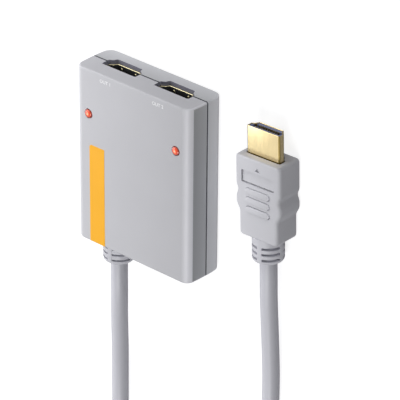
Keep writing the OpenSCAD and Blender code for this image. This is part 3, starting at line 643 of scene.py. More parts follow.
def lamp_resin(settings):
    """Tinted epoxy cast round a small chip: glassy, palest over the chip, where a painted highlight sits and the chip
    glows, and deepest at its edge as painted shade.
    """
    material, tree, shader, place_in = finish("tinted_epoxy_lamp", settings.tint, 0.16, ior=1.54)
    parts = add(tree, "ShaderNodeSeparateXYZ", {0: place_in}).outputs
    apart = add(tree, "ShaderNodeMath", {0: parts["X"]}, operation="ABSOLUTE")
    across = add(tree, "ShaderNodeMath", {0: apart.outputs[0], 1: settings.across}, operation="SUBTRACT")
    along = add(tree, "ShaderNodeMath", {0: parts["Y"], 1: settings.along}, operation="SUBTRACT")
    flat = add(tree, "ShaderNodeCombineXYZ", {"X": across.outputs[0], "Y": along.outputs[0]})
    reach = add(tree, "ShaderNodeVectorMath", {0: flat.outputs[0]}, operation="LENGTH")
    cloud = add(tree, "ShaderNodeTexNoise", {"Vector": place_in, "Scale": 1 / mm(0.8), "Detail": 1.0})
    uneven = add(tree, "ShaderNodeMath", {
        0: cloud.outputs[0], 1: mm(0.25), 2: reach.outputs["Value"]}, operation="MULTIPLY_ADD")
    share = add(tree, "ShaderNodeMapRange", {
        "Value": uneven.outputs[0], "From Min": mm(0.12), "From Max": mm(0.12) + settings.diameter / 2})
    # From the painted highlight and glow at the core, through the tint, to the painted shade at the rim
    ramp = add(tree, "ShaderNodeValToRGB", {"Fac": share.outputs[0]})
    stops = ramp.color_ramp.elements
    stops[0].color = settings.core
    stops[0].position = 0.1
    stops[1].color = settings.rim
    for position, shade in ((0.42, settings.tint), (0.78, settings.tint)):
        stops.new(position).color = shade
    glow = add(tree, "ShaderNodeMapRange", {
        "Value": share.outputs[0], "From Min": 0.0, "From Max": 0.9, "To Min": 0.45, "To Max": 0.0})
    tree.links.new(ramp.outputs[0], shader.inputs["Base Color"])
    tree.links.new(ramp.outputs[0], shader.inputs["Emission Color"])
    tree.links.new(glow.outputs[0], shader.inputs["Emission Strength"])
    return material


def film(base):
    """Polyester film with ink printed under it: a clean, even colour with a smooth, slightly rippled gloss."""
    return textured("printed_polyester_film", base, roughness=0.45, grain=1.6, relief=0.01, cloud=7,
                    ior=1.6, tone=0.012, shine=0.25)


def board_lacquer(base):
    """Green solder mask over copper: glossy, with tracks that show as paler bands."""
    material, tree, shader, place_in = finish("green_solder_mask", base, 0.3)
    bands = add(tree, "ShaderNodeTexWave", {
        "Vector": place_in, "Scale": 1 / mm(9), "Distortion": 6.0, "Detail": 1.0, "Detail Scale": 0.6})
    tracks = add(tree, "ShaderNodeMapRange", {
        "Value": bands.outputs[1], "From Min": 0.55, "From Max": 0.65, "To Min": 0.85, "To Max": 1.35})
    tinted = add(tree, "ShaderNodeHueSaturation", {"Color": base, "Value": tracks.outputs[0]})
    bump = add(tree, "ShaderNodeBump", {"Height": tracks.outputs[0], "Strength": 0.3, "Distance": mm(0.035)})
    tree.links.new(tinted.outputs[0], shader.inputs["Base Color"])
    tree.links.new(bump.outputs[0], shader.inputs["Normal"])
    return material


def wire_sleeves(codes):
    """Thin PVC sleeves in several colours, one to each wire."""
    material, tree, shader, place_in = finish("coloured_pvc_sleeves", srgb(codes[0]), 0.45)
    parts = add(tree, "ShaderNodeSeparateXYZ", {0: place_in}).outputs
    stripe = add(tree, "ShaderNodeMath", {0: parts["X"], 1: 1 / mm(4.4), 2: 4.0}, operation="MULTIPLY_ADD")
    wrapped = add(tree, "ShaderNodeMath", {0: stripe.outputs[0]}, operation="FRACT")
    ramp = add(tree, "ShaderNodeValToRGB", {"Fac": wrapped.outputs[0]})
    ramp.color_ramp.interpolation = "CONSTANT"
    stops = ramp.color_ramp.elements
    stops[0].color = srgb(codes[0])
    stops[1].color = srgb(codes[-1])
    stops[1].position = 1 - 1 / len(codes)
    for i, code in enumerate(codes[1:-1], 1):
        stops.new(i / len(codes)).color = srgb(code)
    tree.links.new(ramp.outputs[0], shader.inputs["Base Color"])
    return material


# Pieces

def spline(points, steps):
    """A smooth line through points, with a number of steps between each two."""
    knots = [Vector([mm(v) for v in point]) for point in points]
    ends = [2 * knots[0] - knots[1]] + knots + [2 * knots[-1] - knots[-2]]
    line = []
    for a, b, c, d in zip(ends, ends[1:], ends[2:], ends[3:]):
        for k in range(steps):
            t = k / steps
            curve = (2 * a - 5 * b + 4 * c - d) * t ** 2 + (3 * b - a - 3 * c + d) * t ** 3
            line.append(0.5 * (2 * b + (c - a) * t + curve))
    return line + [knots[-1]]


def rounding(radius, degrees):
    """How far a rounded edge draws in and how far it drops, at each angle above its foot."""
    return [(radius * (1 - math.cos(t)), radius * (1 - math.sin(t))) for t in map(math.radians, degrees)]


def ease(t):
    """A gentle start and finish between zero and one."""
    return (1 - math.cos(math.pi * t)) / 2


def half_case(case, front, inset):
    """Half of the case's cross-section in X and Z, from the parting line over the front or the rear and back."""
    half = case.width / 2 - inset
    gap = case.seam_gap / 2
    if front:
        top = case.depth - inset
        radius = case.front_radius - inset
        first_degree = 14
        crease = math.radians(first_degree)
        crease_z = top - radius * (1 - math.sin(crease))
        crease_x = half - case.lean * (crease_z - case.seam) / (top - case.seam)
        low, high = Vector((half, case.seam + gap)), Vector((crease_x, crease_z))
        corner = arc((crease_x - radius * math.cos(crease), top - radius), radius, first_degree, 90, 18)
    else:
        radius = case.rear_radius - inset
        drop = case.seam - inset
        lean = math.atan(case.lean / drop)
        middle = (half - case.lean * (1 - radius / drop) - radius / math.cos(lean), inset + radius)
        corner = arc(middle, radius, -math.degrees(lean), -90, 18)
        low, high = Vector((half, case.seam - gap)), Vector(corner[0])
    side = []
    for k in range(8):
        t = k / 8
        point = low.lerp(high, t)
        side.append((point.x + case.bulge * 4 * t * (1 - t), point.y))
    return both_sides(side + corner)


def shell_mesh(case, front):
    """The outside of one half of the case, with rounded edges at its ends."""
    rings = []
    for way in (-1, 1):
        for inset, drop in rounding(case.end_radius, range(0, 91, 9))[::way]:
            rings += along_y(half_case(case, front, inset), way * (case.length / 2 - drop))
    return mesh_of("shell", (rings, False))


class SPLITTER_OT_camera(Operator):
    """Puts the camera where the picture was taken from"""
    bl_idname = "splitter.camera"
    bl_label = "Camera"

    def execute(self, context):
        stage = context.scene.splitter.stage
        centre = Vector((0, 0, context.scene.splitter.case.depth / 2))
        level = math.cos(stage.rise)
        out = Vector((math.sin(stage.turn) * level, math.sin(stage.rise), math.cos(stage.turn) * level))
        right = Vector((math.cos(stage.turn), 0, -math.sin(stage.turn)))
        up = out.cross(right)
        spot = centre + out * stage.distance
        # The camera is turned a little so that the case falls where the picture has it
        middle = PICTURE_PIXELS / 2
        target = centre + (right * (middle - stage.aim[0]) + up * (stage.aim[1] - middle)) / stage.scale
        back = (spot - target).normalized()
        side = up.cross(back).normalized()
        data = bpy.data.cameras.new("camera")
        data.lens = stage.scale * stage.distance / PICTURE_PIXELS * data.sensor_width
        data.clip_start = 0.05
        data.clip_end = 20
        camera = shown("camera", data)
        camera.matrix_world = Matrix.Translation(spot) @ Matrix((side, back.cross(side), back)).transposed().to_4x4()
        context.scene.camera = camera
        return {"FINISHED"}


class SPLITTER_OT_lead(Operator):
    """Lays the lead from the case to the plug"""
    bl_idname = "splitter.lead"
    bl_label = "Lead"

    def execute(self, context):
        lead = context.scene.splitter.lead
        line = spline(ROUTE, ROUTE_STEPS)
        spokes = circle((0, 0), lead.diameter / 2, 32)
        rings = []
        for i, point in enumerate(line):
            ahead = (line[min(i + 1, len(line) - 1)] - line[max(i - 1, 0)]).normalized()
            across = ahead.cross(Vector((0, 0, 1))).normalized()
            above = across.cross(ahead)
            # On the floor the lead lies no lower than the floor
            point.z = max(point.z, lead.diameter / 2)
            rings.append([point + across * x + above * y for x, y in spokes])
        mesh = mesh_of("lead", (rings, False))
        mesh.shade_smooth()
        jacket = jacket_plastic(lead.jacket_colour)
        place("lead", mesh, [jacket], "lead_jacket", "cord")
        dress(jacket, "cable_tail", "plug_cable_tail")
        return {"FINISHED"}


class SPLITTER_OT_case(Operator):
    """Moulds the two shells of the case, with their cut-outs"""
    bl_idname = "splitter.case"
    bl_label = "Case"

    def execute(self, context):
        settings = context.scene.splitter
        case, sockets, lamps = settings.case, settings.sockets, settings.lamps
        end = case.length / 2
        inner = end - case.wall
        hollow_front = bar("hollow", half_case(case, True, case.wall), -inner, inner)
        hollow_front.transform(Matrix.Translation((0, 0, -mm(0.5))))
        hollow_rear = bar("hollow", half_case(case, False, case.wall), -inner, inner)
        hollow_rear.transform(Matrix.Translation((0, 0, mm(0.5))))
        outline = connector(sockets.clearance, mm(0.5))
        mouth = mesh_of("mouth", *[
            solid(*along_y(shifted(outline, side * sockets.spacing / 2, sockets.height), inner - CLEAR, end + CLEAR))
            for side in (-1, 1)])
        hole = bar("hole", circle((mm(ROUTE[0][0]), case.seam), mm(4.6)), -end - CLEAR, -inner + CLEAR)
        lamp_holes = mesh_of("lamp_holes", *[
            solid(*along_z(circle((side * lamps.across, lamps.along), lamps.diameter / 2 + lamps.gap, 72),
                           case.depth - mm(6), case.depth + CLEAR))
            for side in (-1, 1)])
        front = carved(shell_mesh(case, True), hollow_front, mouth.copy(), hole.copy(), lamp_holes)
        front = eased(front, case.edge, 3)

        # The rear shell's locating lip closes the groove from inside
        lip_outer = rectangle(case.width - 2 * case.seam_depth, case.length - 2 * case.seam_depth)
        lip_inner = rectangle(case.width - 2 * case.wall, case.length - 2 * case.wall)
        low, high = case.seam - mm(1.5), case.seam + mm(1.2)
        lip = mesh_of("lip", (along_z(lip_outer, low, high) + along_z(lip_inner, high, low), True))
        sinks = mesh_of("sinks", *[
            solid(*along_z(circle((mm(x), mm(y)), mm(2.1)), -mm(1), mm(1.5))) for x, y in SCREW_SPOTS])
        rear = carved(shell_mesh(case, False), hollow_rear)
        rear = carved(joined(rear, lip), mouth, hole, sinks)
        rear = eased(rear, case.edge, 3)
        # Painted light on the front shell: faces turning right are painted paler as a highlight on the rounded
        # corner, then darker towards the side walls as painted shade, and faces turning left are painted paler as a
        # highlight on the left edge
        light = case_plastic("spark_eroded_abs_painted_highlights", case.front_colour, faces=[
            ("X", 0, 0.6, 0.68), ("X", 0.64, 0.95, -0.1), ("X", -0.1, -0.75, 0.22)])
        # The front shell's side walls are a darker copy of the front as painted shade, lighter towards the parting
        # line and darker towards the front
        side = case_plastic("spark_eroded_abs_painted_side_shade", case.side_shade_colour, drifts=[("Z", 8, 15.6, 0.2)])
        # The rear shell's rim and lip are painted dark as painted shade in the groove, which draws a thin dark line
        # round the case
        dark = case_plastic("abs_lip_painted_groove_shade", case.lip_shade_colour)
        # The walls of the socket cut-outs are painted a dull dark grey, as painted shade in the recesses
        well = case_plastic("abs_painted_cutout_shade", case.well_shade_colour)
        rim = case.seam - case.seam_gap / 2 - mm(0.02)
        for shell in (front, rear):
            for face in shell.polygons:
                spot, way = face.center, face.normal
                beside = abs(abs(spot.x) - sockets.spacing / 2)
                # Cut-out walls take the painted shade
                if abs(way.y) < 0.3 and spot.y > inner and beside < mm(8) and mm(4.5) < spot.z < mm(11.5):
                    face.material_index = 2
                # The front's side walls take their painted shade
                elif shell is front:
                    face.material_index = int(abs(way.x) > 0.985 and abs(spot.x) > case.width / 2 - mm(0.6))
                # The rear's rim and lip take the painted groove shade
                else:
                    within = abs(spot.x) < case.width / 2 - case.seam_depth * 0.9
                    face.material_index = int(spot.z > rim and (way.z > 0.9 or within))
        place("case_front", front, [light, side, well], "case_front", "front_shell")
        # Painted light on the rear shell: lighter towards the rear face and darker towards the parting line, and
        # paler on faces that turn right, as painted light from the floor and a painted highlight
        back = case_plastic("spark_eroded_abs_rear_painted_light", case.rear_colour,
                            drifts=[("Z", 1.5, 7.5, 0.11)], faces=[("X", 0.1, 0.75, 0.48)])
        place("case_rear", rear, [back, dark, well], "case_rear", "rear_shell")
        return {"FINISHED"}


class SPLITTER_OT_sockets(Operator):
    """Bends the sockets' shells and finishes their insulators and contacts"""
    bl_idname = "splitter.sockets"
    bl_label = "Sockets"

    def execute(self, context):
        sockets = context.scene.splitter.sockets
        gold = gold_plate("thin_gold_flash", sockets.gold)
        # The inside of the shell is painted black, as painted shade within the socket
        inner_shade = textured("steel_painted_inner_shade", srgb("#17181a"), roughness=0.5, grain=0.4, relief=0.001, cloud=2,
                        metallic=0.6, tone=0.1)
        mouth = sockets.mouth
        slack = mm(0.05)
        outer = slack + sockets.sheet
        rows = [(outer, sockets.back), (outer, mouth - mm(0.9)), (outer + sockets.lip * 0.4, mouth - mm(0.35)),
                (outer + sockets.lip, mouth - mm(0.08)), (outer + sockets.lip - mm(0.08), mouth),
                (slack + mm(0.12), mouth), (slack, mouth - mm(0.15)), (slack, sockets.back)]
        rings = [along_y(connector(growth, mm(0.3) + growth), y)[0] for growth, y in rows]
        roof = mm(2.225)
        slit = mm(0.5)
        end = mouth - mm(2)
        half, reach = sockets.finger_width / 2, sockets.finger_length
        # Each spring finger is cut free on three sides
        cut = [(half + slit, end - reach), (half + slit, end), (-half - slit, end), (-half - slit, end - reach),
               (-half, end - reach), (-half, end - slit), (half, end - slit), (half, end - reach)]
        springs = (mm(-3.2), mm(3.2))
        for number, side in ((1, -1), (2, 1)):
            fingers = mesh_of("fingers", *[
                solid(*along_z(shifted(cut, x, 0), roof - mm(0.3), roof + mm(1))) for x in springs])
            shell = carved(mesh_of("shell", (rings, True)), fingers)
            bm = bmesh.new()
            bm.from_mesh(shell)
            for x in (-1, 1):
                for y in (sockets.back + mm(2), mouth - mm(4)):
                    leg = shifted(rectangle(sockets.sheet, mm(1.6)), x * mm(7.175), y)
                    skin(bm, along_z(leg, mm(2.9) - sockets.height, mm(-0.2)))
            # Faces inside the shell take the painted shade
            for face in bm.faces:
                face.normal_update()
                spot, way = face.calc_center_median(), face.normal
                inwards = way.x * spot.x + way.z * spot.z < 0
                face.material_index = int(inwards and spot.y < mouth - mm(0.1) and abs(spot.x) < mm(7))
            # Two sprung dimples stand up from the narrow wall and hold a plug by its shell
            oval = circle((0, 0), 1, 24)
            levels = [(1.0, -mm(2.5)), (1.0, -mm(2.2)), (0.8, -mm(2.05)), (0.45, -mm(1.97))]
            for x in springs:
                skin(bm, [[(x + mm(0.5) * scale * u, mouth - mm(1.7) + mm(0.8) * scale * v, z) for u, v in oval]
                          for scale, z in levels])
            bmesh.ops.recalc_face_normals(bm, faces=bm.faces)
            for face in bm.faces:
                face.smooth = True
            bm.to_mesh(shell)
            bm.free()
            shell.set_sharp_from_angle(angle=math.radians(40))
            shell.transform(Matrix.Translation((side * sockets.spacing / 2, 0, sockets.height)))
            place(f"socket_shell_{number}", shell, [gold, inner_shade], "gold", f"socket_{number}_shell")
        dress(gold, "socket_1_contacts", "socket_2_contacts")
        dress(resin("black_polymer", sockets.insulator_colour), "socket_1_insulator", "socket_2_insulator")
        return {"FINISHED"}


class SPLITTER_OT_lamps(Operator):
    """Casts the two indicator lamps"""
    bl_idname = "splitter.lamps"
    bl_label = "Lamps"

    def execute(self, context):
        lamps = context.scene.splitter.lamps
        resin_tint = lamp_resin(lamps)
        radius = lamps.diameter / 2
        straight = lamps.top - lamps.dome
        base = mm(LAMP_LOW.z)
        step = radius + mm(0.45)
        profile = [(mm(0.01), base), (step, base), (step, base + mm(1)), (radius, base + mm(1))]
        for t in map(math.radians, range(0, 90, 5)):
            profile.append((radius * math.cos(t), straight + lamps.dome * math.sin(t)))
        profile += [(mm(0.01), lamps.top)]
        for name, side in (("led_1", -1), ("led_2", 1)):
            mesh = mesh_of(name, turned(profile))
            mesh.transform(Matrix.Translation((side * lamps.across, lamps.along, 0)))
            mesh.shade_smooth()
            mesh.set_sharp_from_angle(angle=math.radians(40))
            place("lamp_" + name[-1], mesh, [resin_tint], "lamp", name)
        return {"FINISHED"}


class SPLITTER_OT_label(Operator):
    """Lays the coloured strip and prints the lettering beside the sockets"""
    bl_idname = "splitter.label"
    bl_label = "Strip and Lettering"

    def execute(self, context):
        settings = context.scene.splitter
        label, case = settings.label, settings.case
        left, right = mm(LABEL_LOW.x), mm(LABEL_HIGH.x)
        top, bottom = mm(LABEL_HIGH.y), mm(LABEL_LOW.y)
        skim = mm(0.01)
        corner = rounding(label.corner, [90 - 11.25 * k for k in range(9)])
        rows = [(left + draw, top - drop, case.depth + skim) for draw, drop in corner]
        rows.append((left, bottom, case.depth + skim))
        # The strip runs over the rounded end edge
        bend = case.end_radius + skim
        for k in range(1, 5):
            t = math.radians(10 * k)
            rows.append((left, bottom - bend * math.sin(t), case.depth - case.end_radius + bend * math.cos(t)))
        bm = bmesh.new()
        pairs = [(bm.verts.new((x, y, z)), bm.verts.new((right, y, z))) for x, y, z in rows]
        for upper, lower in zip(pairs, pairs[1:]):
            bm.faces.new((upper[0], lower[0], lower[1], upper[1]))
        mesh = bpy.data.meshes.new("strip")
        bm.to_mesh(mesh)
        bm.free()
        mesh = modified(mesh, ("SOLIDIFY", {"thickness": label.thickness, "offset": 1.0}))
        mesh.shade_smooth()
        mesh.set_sharp_from_angle(angle=math.radians(30))
        place("accent_strip", mesh, [film(label.tint)], "label", "accent_label")

        # Opaque pad-printing ink: flat white, a hair thicker than paint, with a soft sheen
        ink = textured("pad_printing_ink", label.ink, roughness=0.5, grain=0.3, relief=0.004, cloud=1, tone=0.02)
        for figure, side in (("1", -1), ("2", 1)):
            words = bpy.data.curves.new("lettering_" + figure, "FONT")
            words.body = "OUT " + figure
            words.size = label.figure * 1.4
            words.extrude = mm(0.015)
            words.align_x = "CENTER"
            words.align_y = "CENTER"
            text = shown(words.name, words)
            mesh = bpy.data.meshes.new_from_object(text.evaluated_get(context.evaluated_depsgraph_get()))
            bpy.data.objects.remove(text)
            mesh.transform(Matrix.Translation((
                side * settings.sockets.spacing / 2, case.length / 2 - mm(2.6), case.depth + skim)))
            mesh.shade_flat()
            place("lettering_" + figure, mesh, [ink], "white_plastic")
        return {"FINISHED"}


class SPLITTER_OT_strain_reliefs(Operator):
    """Moulds the slit sleeves where the lead leaves the case and the plug"""
    bl_idname = "splitter.strain_reliefs"
    bl_label = "Strain Reliefs"

    def execute(self, context):
        lead = context.scene.splitter.lead
        case = context.scene.splitter.case
        rubber = soft_plastic("soft_pvc_sleeve", lead.sleeve_colour)
        slits = slit_tree()
        bore = lead.diameter / 2 + mm(0.05)
        neck, flange = mm(4.5), mm(5.5)
        inside = lead.sleeve_length + case.wall
        end = inside + mm(2)
        at_case = Matrix.Translation((mm(ROUTE[0][0]), mm(ROUTE[0][1]), case.seam)) @ STAND_ALONG_Y
        sleeves = (
            ("case_strain_relief", "cable_gland", lead.sleeve_radius, lead.slit_width * 0.75, at_case,
             [(lead.sleeve_radius, lead.sleeve_length), (neck, lead.sleeve_length), (neck, inside),
              (flange, inside), (flange, end), (bore, end)]),
            ("plug_strain_relief", "plug_grip", lead.boot_radius, lead.slit_width, PLUG_PLACE @ STAND_ALONG_Y,
             [(lead.boot_radius, lead.boot_length + mm(0.4)), (bore, lead.boot_length + mm(0.4))]),
        )
        for name, node, radius, slit, spot, rest in sleeves:
            rim = arc((radius - lead.end_radius, lead.end_radius), lead.end_radius, -90, 0, 10)
            sleeve = mesh_of(name, turned([(bore, 0)] + rim + rest, 96))
            sleeve = grow(sleeve, slits, {
                "Radius": radius, "Depth": lead.slit_depth, "Width": slit, "Bridge": lead.bridge,
                "Turn": lead.slit_turn, "First": lead.end_radius + lead.slit_width / 2,
                "Pitch": lead.slit_pitch, "Rings": lead.rings, "Finish": rubber})
            sleeve = eased(sleeve, mm(0.14), 2, crease=25)
            sleeve.transform(spot)
            place(name, sleeve, [rubber], "lead_rubber", node)
        return {"FINISHED"}


class SPLITTER_OT_grip(Operator):
    """Moulds the plug's grip with its panel, pads and arrow"""
    bl_idname = "splitter.grip"
    bl_label = "Plug Grip"

    def execute(self, context):
        settings = context.scene.splitter
        plug, lead = settings.plug, settings.lead
        start = lead.boot_length
        end = start + plug.grip_length
        panel_y, pad_y, arrow_y = start + mm(21.9), start + mm(10.3), start + mm(25)
        keys = [(0, plug.low_width), (mm(8.2), plug.low_width), (mm(12), plug.head_width),
                (mm(13.6), plug.head_width), (mm(16.2), plug.waist_width), (mm(18.8), plug.head_width),
                (plug.grip_length, plug.head_width)]
        stations = []
        for (a, wide), (b, next_wide) in zip(keys, keys[1:]):
            for k in range(12):
                t = k / 12
                stations.append((a + (b - a) * t, wide + (next_wide - wide) * ease(t)))
        corner = plug.corner_radius
        near = [corner * (1 - math.sin(math.radians(7.5 * k))) for k in range(12, -1, -1)]
        ends = [(y, plug.low_width) for y in near] + [(plug.grip_length - y, plug.head_width) for y in reversed(near)]
        rings = []
        for y, wide in sorted(ends + [(y, w) for y, w in stations if corner < y < plug.grip_length - corner]):
            # The ends are rounded, more so at their corners than across their thickness
            gap = min(y, plug.grip_length - y)
            narrower, thinner = [radius - math.sqrt(radius ** 2 - max(radius - gap, 0) ** 2)
                                 for radius in (corner, plug.end_radius)]
            section = rectangle(wide - 2 * narrower, plug.grip_depth - 2 * thinner)
            rings += along_y(filleted(section, plug.edge_radius - thinner * 0.5, 8), start + y)
        body = mesh_of("grip", (rings, False))
        front = plug.grip_depth / 2
        sunk = mm(0.5)
        panel = filleted(rectangle(plug.panel_width, plug.panel_length), mm(0.5), 5)
        panel_cut = pillar("panel", shifted(panel, 0, panel_y), front - plug.panel_depth, front + CLEAR)
        # A fine moat runs round the panel's floor and round each pad
        inner_panel = filleted(rectangle(plug.panel_width - mm(0.6), plug.panel_length - mm(0.6)), mm(0.25), 5)
        moat_low, moat_high = front - plug.panel_depth - mm(0.6), front - plug.panel_depth + mm(0.2)
        panel_rings = along_z(shifted(grown(panel, -mm(0.02)), 0, panel_y), moat_low, moat_high)
        panel_rings += along_z(shifted(inner_panel, 0, panel_y), moat_high, moat_low)
        panel_moat = mesh_of("panel_moat", (panel_rings, True))
        pad = filleted(rectangle(plug.pad_length, plug.pad_width), plug.pad_width / 2 - mm(0.01), 10)
        pad_moats = mesh_of("pad_moats", *[
            solid(*along_z(shifted(grown(pad, mm(0.18)), 0, pad_y + i * plug.pad_pitch), front - sunk, front + CLEAR))
            for i in range(PADS)])
        arrow = filleted([(mm(1.15), 0), (0, mm(1.5)), (mm(-1.15), 0)], mm(0.12), 3)
        arrow_cut = pillar("arrow", shifted(arrow, 0, arrow_y), front - sunk, front + CLEAR)
        mouth = bar("mouth", connector(mm(0.08), mm(0.55)), end - mm(3), end + CLEAR)
        groove = bar("groove", connector(mm(0.4), mm(0.6)), end - sunk, end + CLEAR)
        bore = bar("bore", circle((0, 0), lead.diameter / 2 + mm(0.05)), start - CLEAR, start + mm(3))
        body = carved(body, panel_cut, panel_moat, pad_moats, arrow_cut, groove, mouth, bore)
        body = eased(body, mm(0.07), 2, crease=20)
        # Painted shade on the grip: its tone drifts from light on the left to darker on the right, and its end
        # towards the tip and its right-hand side are painted darker
        across = [("X", 41, 61, 0.12)]
        vinyl = soft_plastic("soft_pvc_grip_painted_shade", plug.grip_colour, across, [
            ("Y", 0.5, 0.95, -0.2), ("X", 0.5, 0.95, -0.1)])
        # The pads are painted pale on faces that turn to the right, as a painted highlight along their right-hand
        # ends
        pad_highlight = soft_plastic("soft_pvc_painted_pad_highlight", plug.grip_colour, across, [("X", 0.15, 0.7, 0.4)])
        body.transform(PLUG_PLACE)
        place("plug_grip_body", body, [vinyl], "plug_mould", "plug_grip")

        brow = mm(0.3)
        crest = front + plug.pad_height
        levels = [(0.0, front - mm(0.7)), (0.0, crest - brow)]
        levels += [(draw, crest - drop) for draw, drop in rounding(brow, range(18, 91, 18))]
        pads = mesh_of("pads", solid(*[along_z(grown(pad, -draw), z)[0] for draw, z in levels]))
        pads.shade_smooth()
        pads = grow(pads, row_tree(), {"Count": PADS, "Step": (0, plug.pad_pitch, 0), "Finish": pad_highlight})
        pads.set_sharp_from_angle(angle=math.radians(35))
        pads.transform(PLUG_PLACE @ Matrix.Translation((0, pad_y, 0)))
        place("plug_finger_pads", pads, [pad_highlight], "plug_mould", "plug_grip")
        return {"FINISHED"}


class SPLITTER_OT_plug_metal(Operator):
    """Bends the plug's metal shell and fits its insulator and contacts"""
    bl_idname = "splitter.plug_metal"
    bl_label = "Plug Metal"

    def execute(self, context):
        plug = context.scene.splitter.plug
        lead = context.scene.splitter.lead
        gold = gold_plate("gold_flash_on_nickel", plug.gold)
        tip = lead.boot_length + plug.grip_length + plug.shell_length
        root = tip - mm(15.5)
        edge = rounding(plug.sheet / 2, range(0, 91, 15))
        outer = [(-draw, tip - drop) for draw, drop in edge]
        inner = [(-plug.sheet + draw, tip - drop) for draw, drop in reversed(edge)]
        foot = lead.boot_length + plug.grip_length + mm(0.25)
        rings = [along_y(connector(growth, mm(0.45)), y)[0] for growth, y in [(0.0, root), (0.0, foot)] + outer]
        rings += [along_y(connector(growth, mm(0.2)), y)[0] for growth, y in inner + [(-plug.sheet, root)]]
        shell = mesh_of("plug_shell", (rings, True))
        # The plating is painted darker along the bends, as a painted dark reflection on the rounded corners, and at
        # the foot, as painted shadow where the shell enters the grip
        bend_shade = textured("gold_flash_painted_bend_shade", plug.bend_shade_gold, roughness=0.38, grain=0.3, relief=0.001, cloud=4,
                        stretch=(1, 0.05, 1), metallic=1.0, tone=0.06)
        count = len(rings[0])
        for face in shell.polygons:
            bend = face.index % count % CORNER_POINTS != CORNER_POINTS - 1
            face.material_index = int(bend or face.index < count)
        shell.shade_smooth()
        shell.set_sharp_from_angle(angle=math.radians(40))
        shell.transform(PLUG_PLACE)
        place("plug_metal_shell", shell, [gold, bend_shade], "gold", "plug_shell")

        face = tip - mm(0.3)
        deep = face - mm(8)
        block = bar("insulator", connector(-plug.sheet - mm(0.03), mm(0.5)), root, face)
        slot = bar("slot", filleted(rectangle(mm(11.8), mm(1.9)), mm(0.3), 4), deep, face + CLEAR)
        block = eased(carved(block, slot), mm(0.12), 2)
        block.transform(PLUG_PLACE)
        slate = resin("slate_polymer", plug.insulator_colour)
        place("plug_insulator_block", block, [slate], "plug_blue", "plug_insulator")

        row = row_tree()
        strip = filleted(rectangle(mm(0.55), mm(0.5)), mm(0.1), 3)
        meshes = []
        for count, z in ((plug.contacts, mm(0.8)), (plug.contacts - 1, mm(-0.8))):
            contact = bar("contact", strip, deep, face - mm(0.1))
            contact.shade_smooth()
            contact.set_sharp_from_angle(angle=math.radians(40))
            contacts = grow(contact, row, {"Count": count, "Step": (plug.contact_pitch, 0, 0), "Finish": gold})
            contacts.transform(PLUG_PLACE @ Matrix.Translation((-plug.contact_pitch * (count - 1) / 2, 0, z)))
            meshes.append(contacts)
        bm = bmesh.new()
        for mesh in meshes:
            bm.from_mesh(mesh)
        bm.to_mesh(meshes[0])
        bm.free()
        place("plug_contact_rows", meshes[0], [gold], "gold", "plug_contacts")
        return {"FINISHED"}


class SPLITTER_OT_inside(Operator):
    """Finishes the screws and everything inside the case and the grip"""
    bl_idname = "splitter.inside"
    bl_label = "Inside Parts"

    def execute(self, context):
        dress(tin_plate("zinc_plated_steel", srgb("#b4b7bb")), "case_screws")
        dress(tin_plate("tinned_steel", srgb("#c3c5c8")),
              "chip_pins", "led_leads", "plug_shield_can", "clock_crystal")
        dress(board_lacquer(srgb("#2c6e49")), "circuit_board")
        # Epoxy moulding compound: dead black with a fine, even grain
        dress(textured("black_epoxy_moulding", srgb("#1d1f22"), roughness=0.6, grain=0.3, relief=0.008,
                       cloud=3, tone=0.05),
              "splitter_chip", "voltage_regulator", "chip_resistors", "surge_arrays")
        # Pressed ferrite: dark grey and slightly porous
        dress(textured("pressed_ferrite", srgb("#4a4c50"), roughness=0.7, grain=0.35, relief=0.015,
                       cloud=2, tone=0.08), "power_inductor")
        # Fired ceramic: tan and chalky
        dress(textured("fired_ceramic", srgb("#b08d57"), roughness=0.6, grain=0.25, relief=0.005,
                       cloud=1.5, tone=0.08), "chip_capacitors")
        # Undyed nylon: milky white with a slight sheen
        dress(textured("natural_nylon", srgb("#e4e2da"), roughness=0.5, grain=0.5, relief=0.006,
                       cloud=4, tone=0.02), "led_spacers", "plug_inner_mould")
        # Pressed brass: warm yellow metal with faint drawing marks
        dress(textured("pressed_brass", srgb("#b5913f"), roughness=0.3, grain=0.3, relief=0.001,
                       cloud=2, metallic=1.0, tone=0.05), "crimp_ring")
        dress(wire_sleeves(["#c0392b", "#2e86c1", "#27ae60", "#d4ac0d"]), "signal_wires")
        return {"FINISHED"}


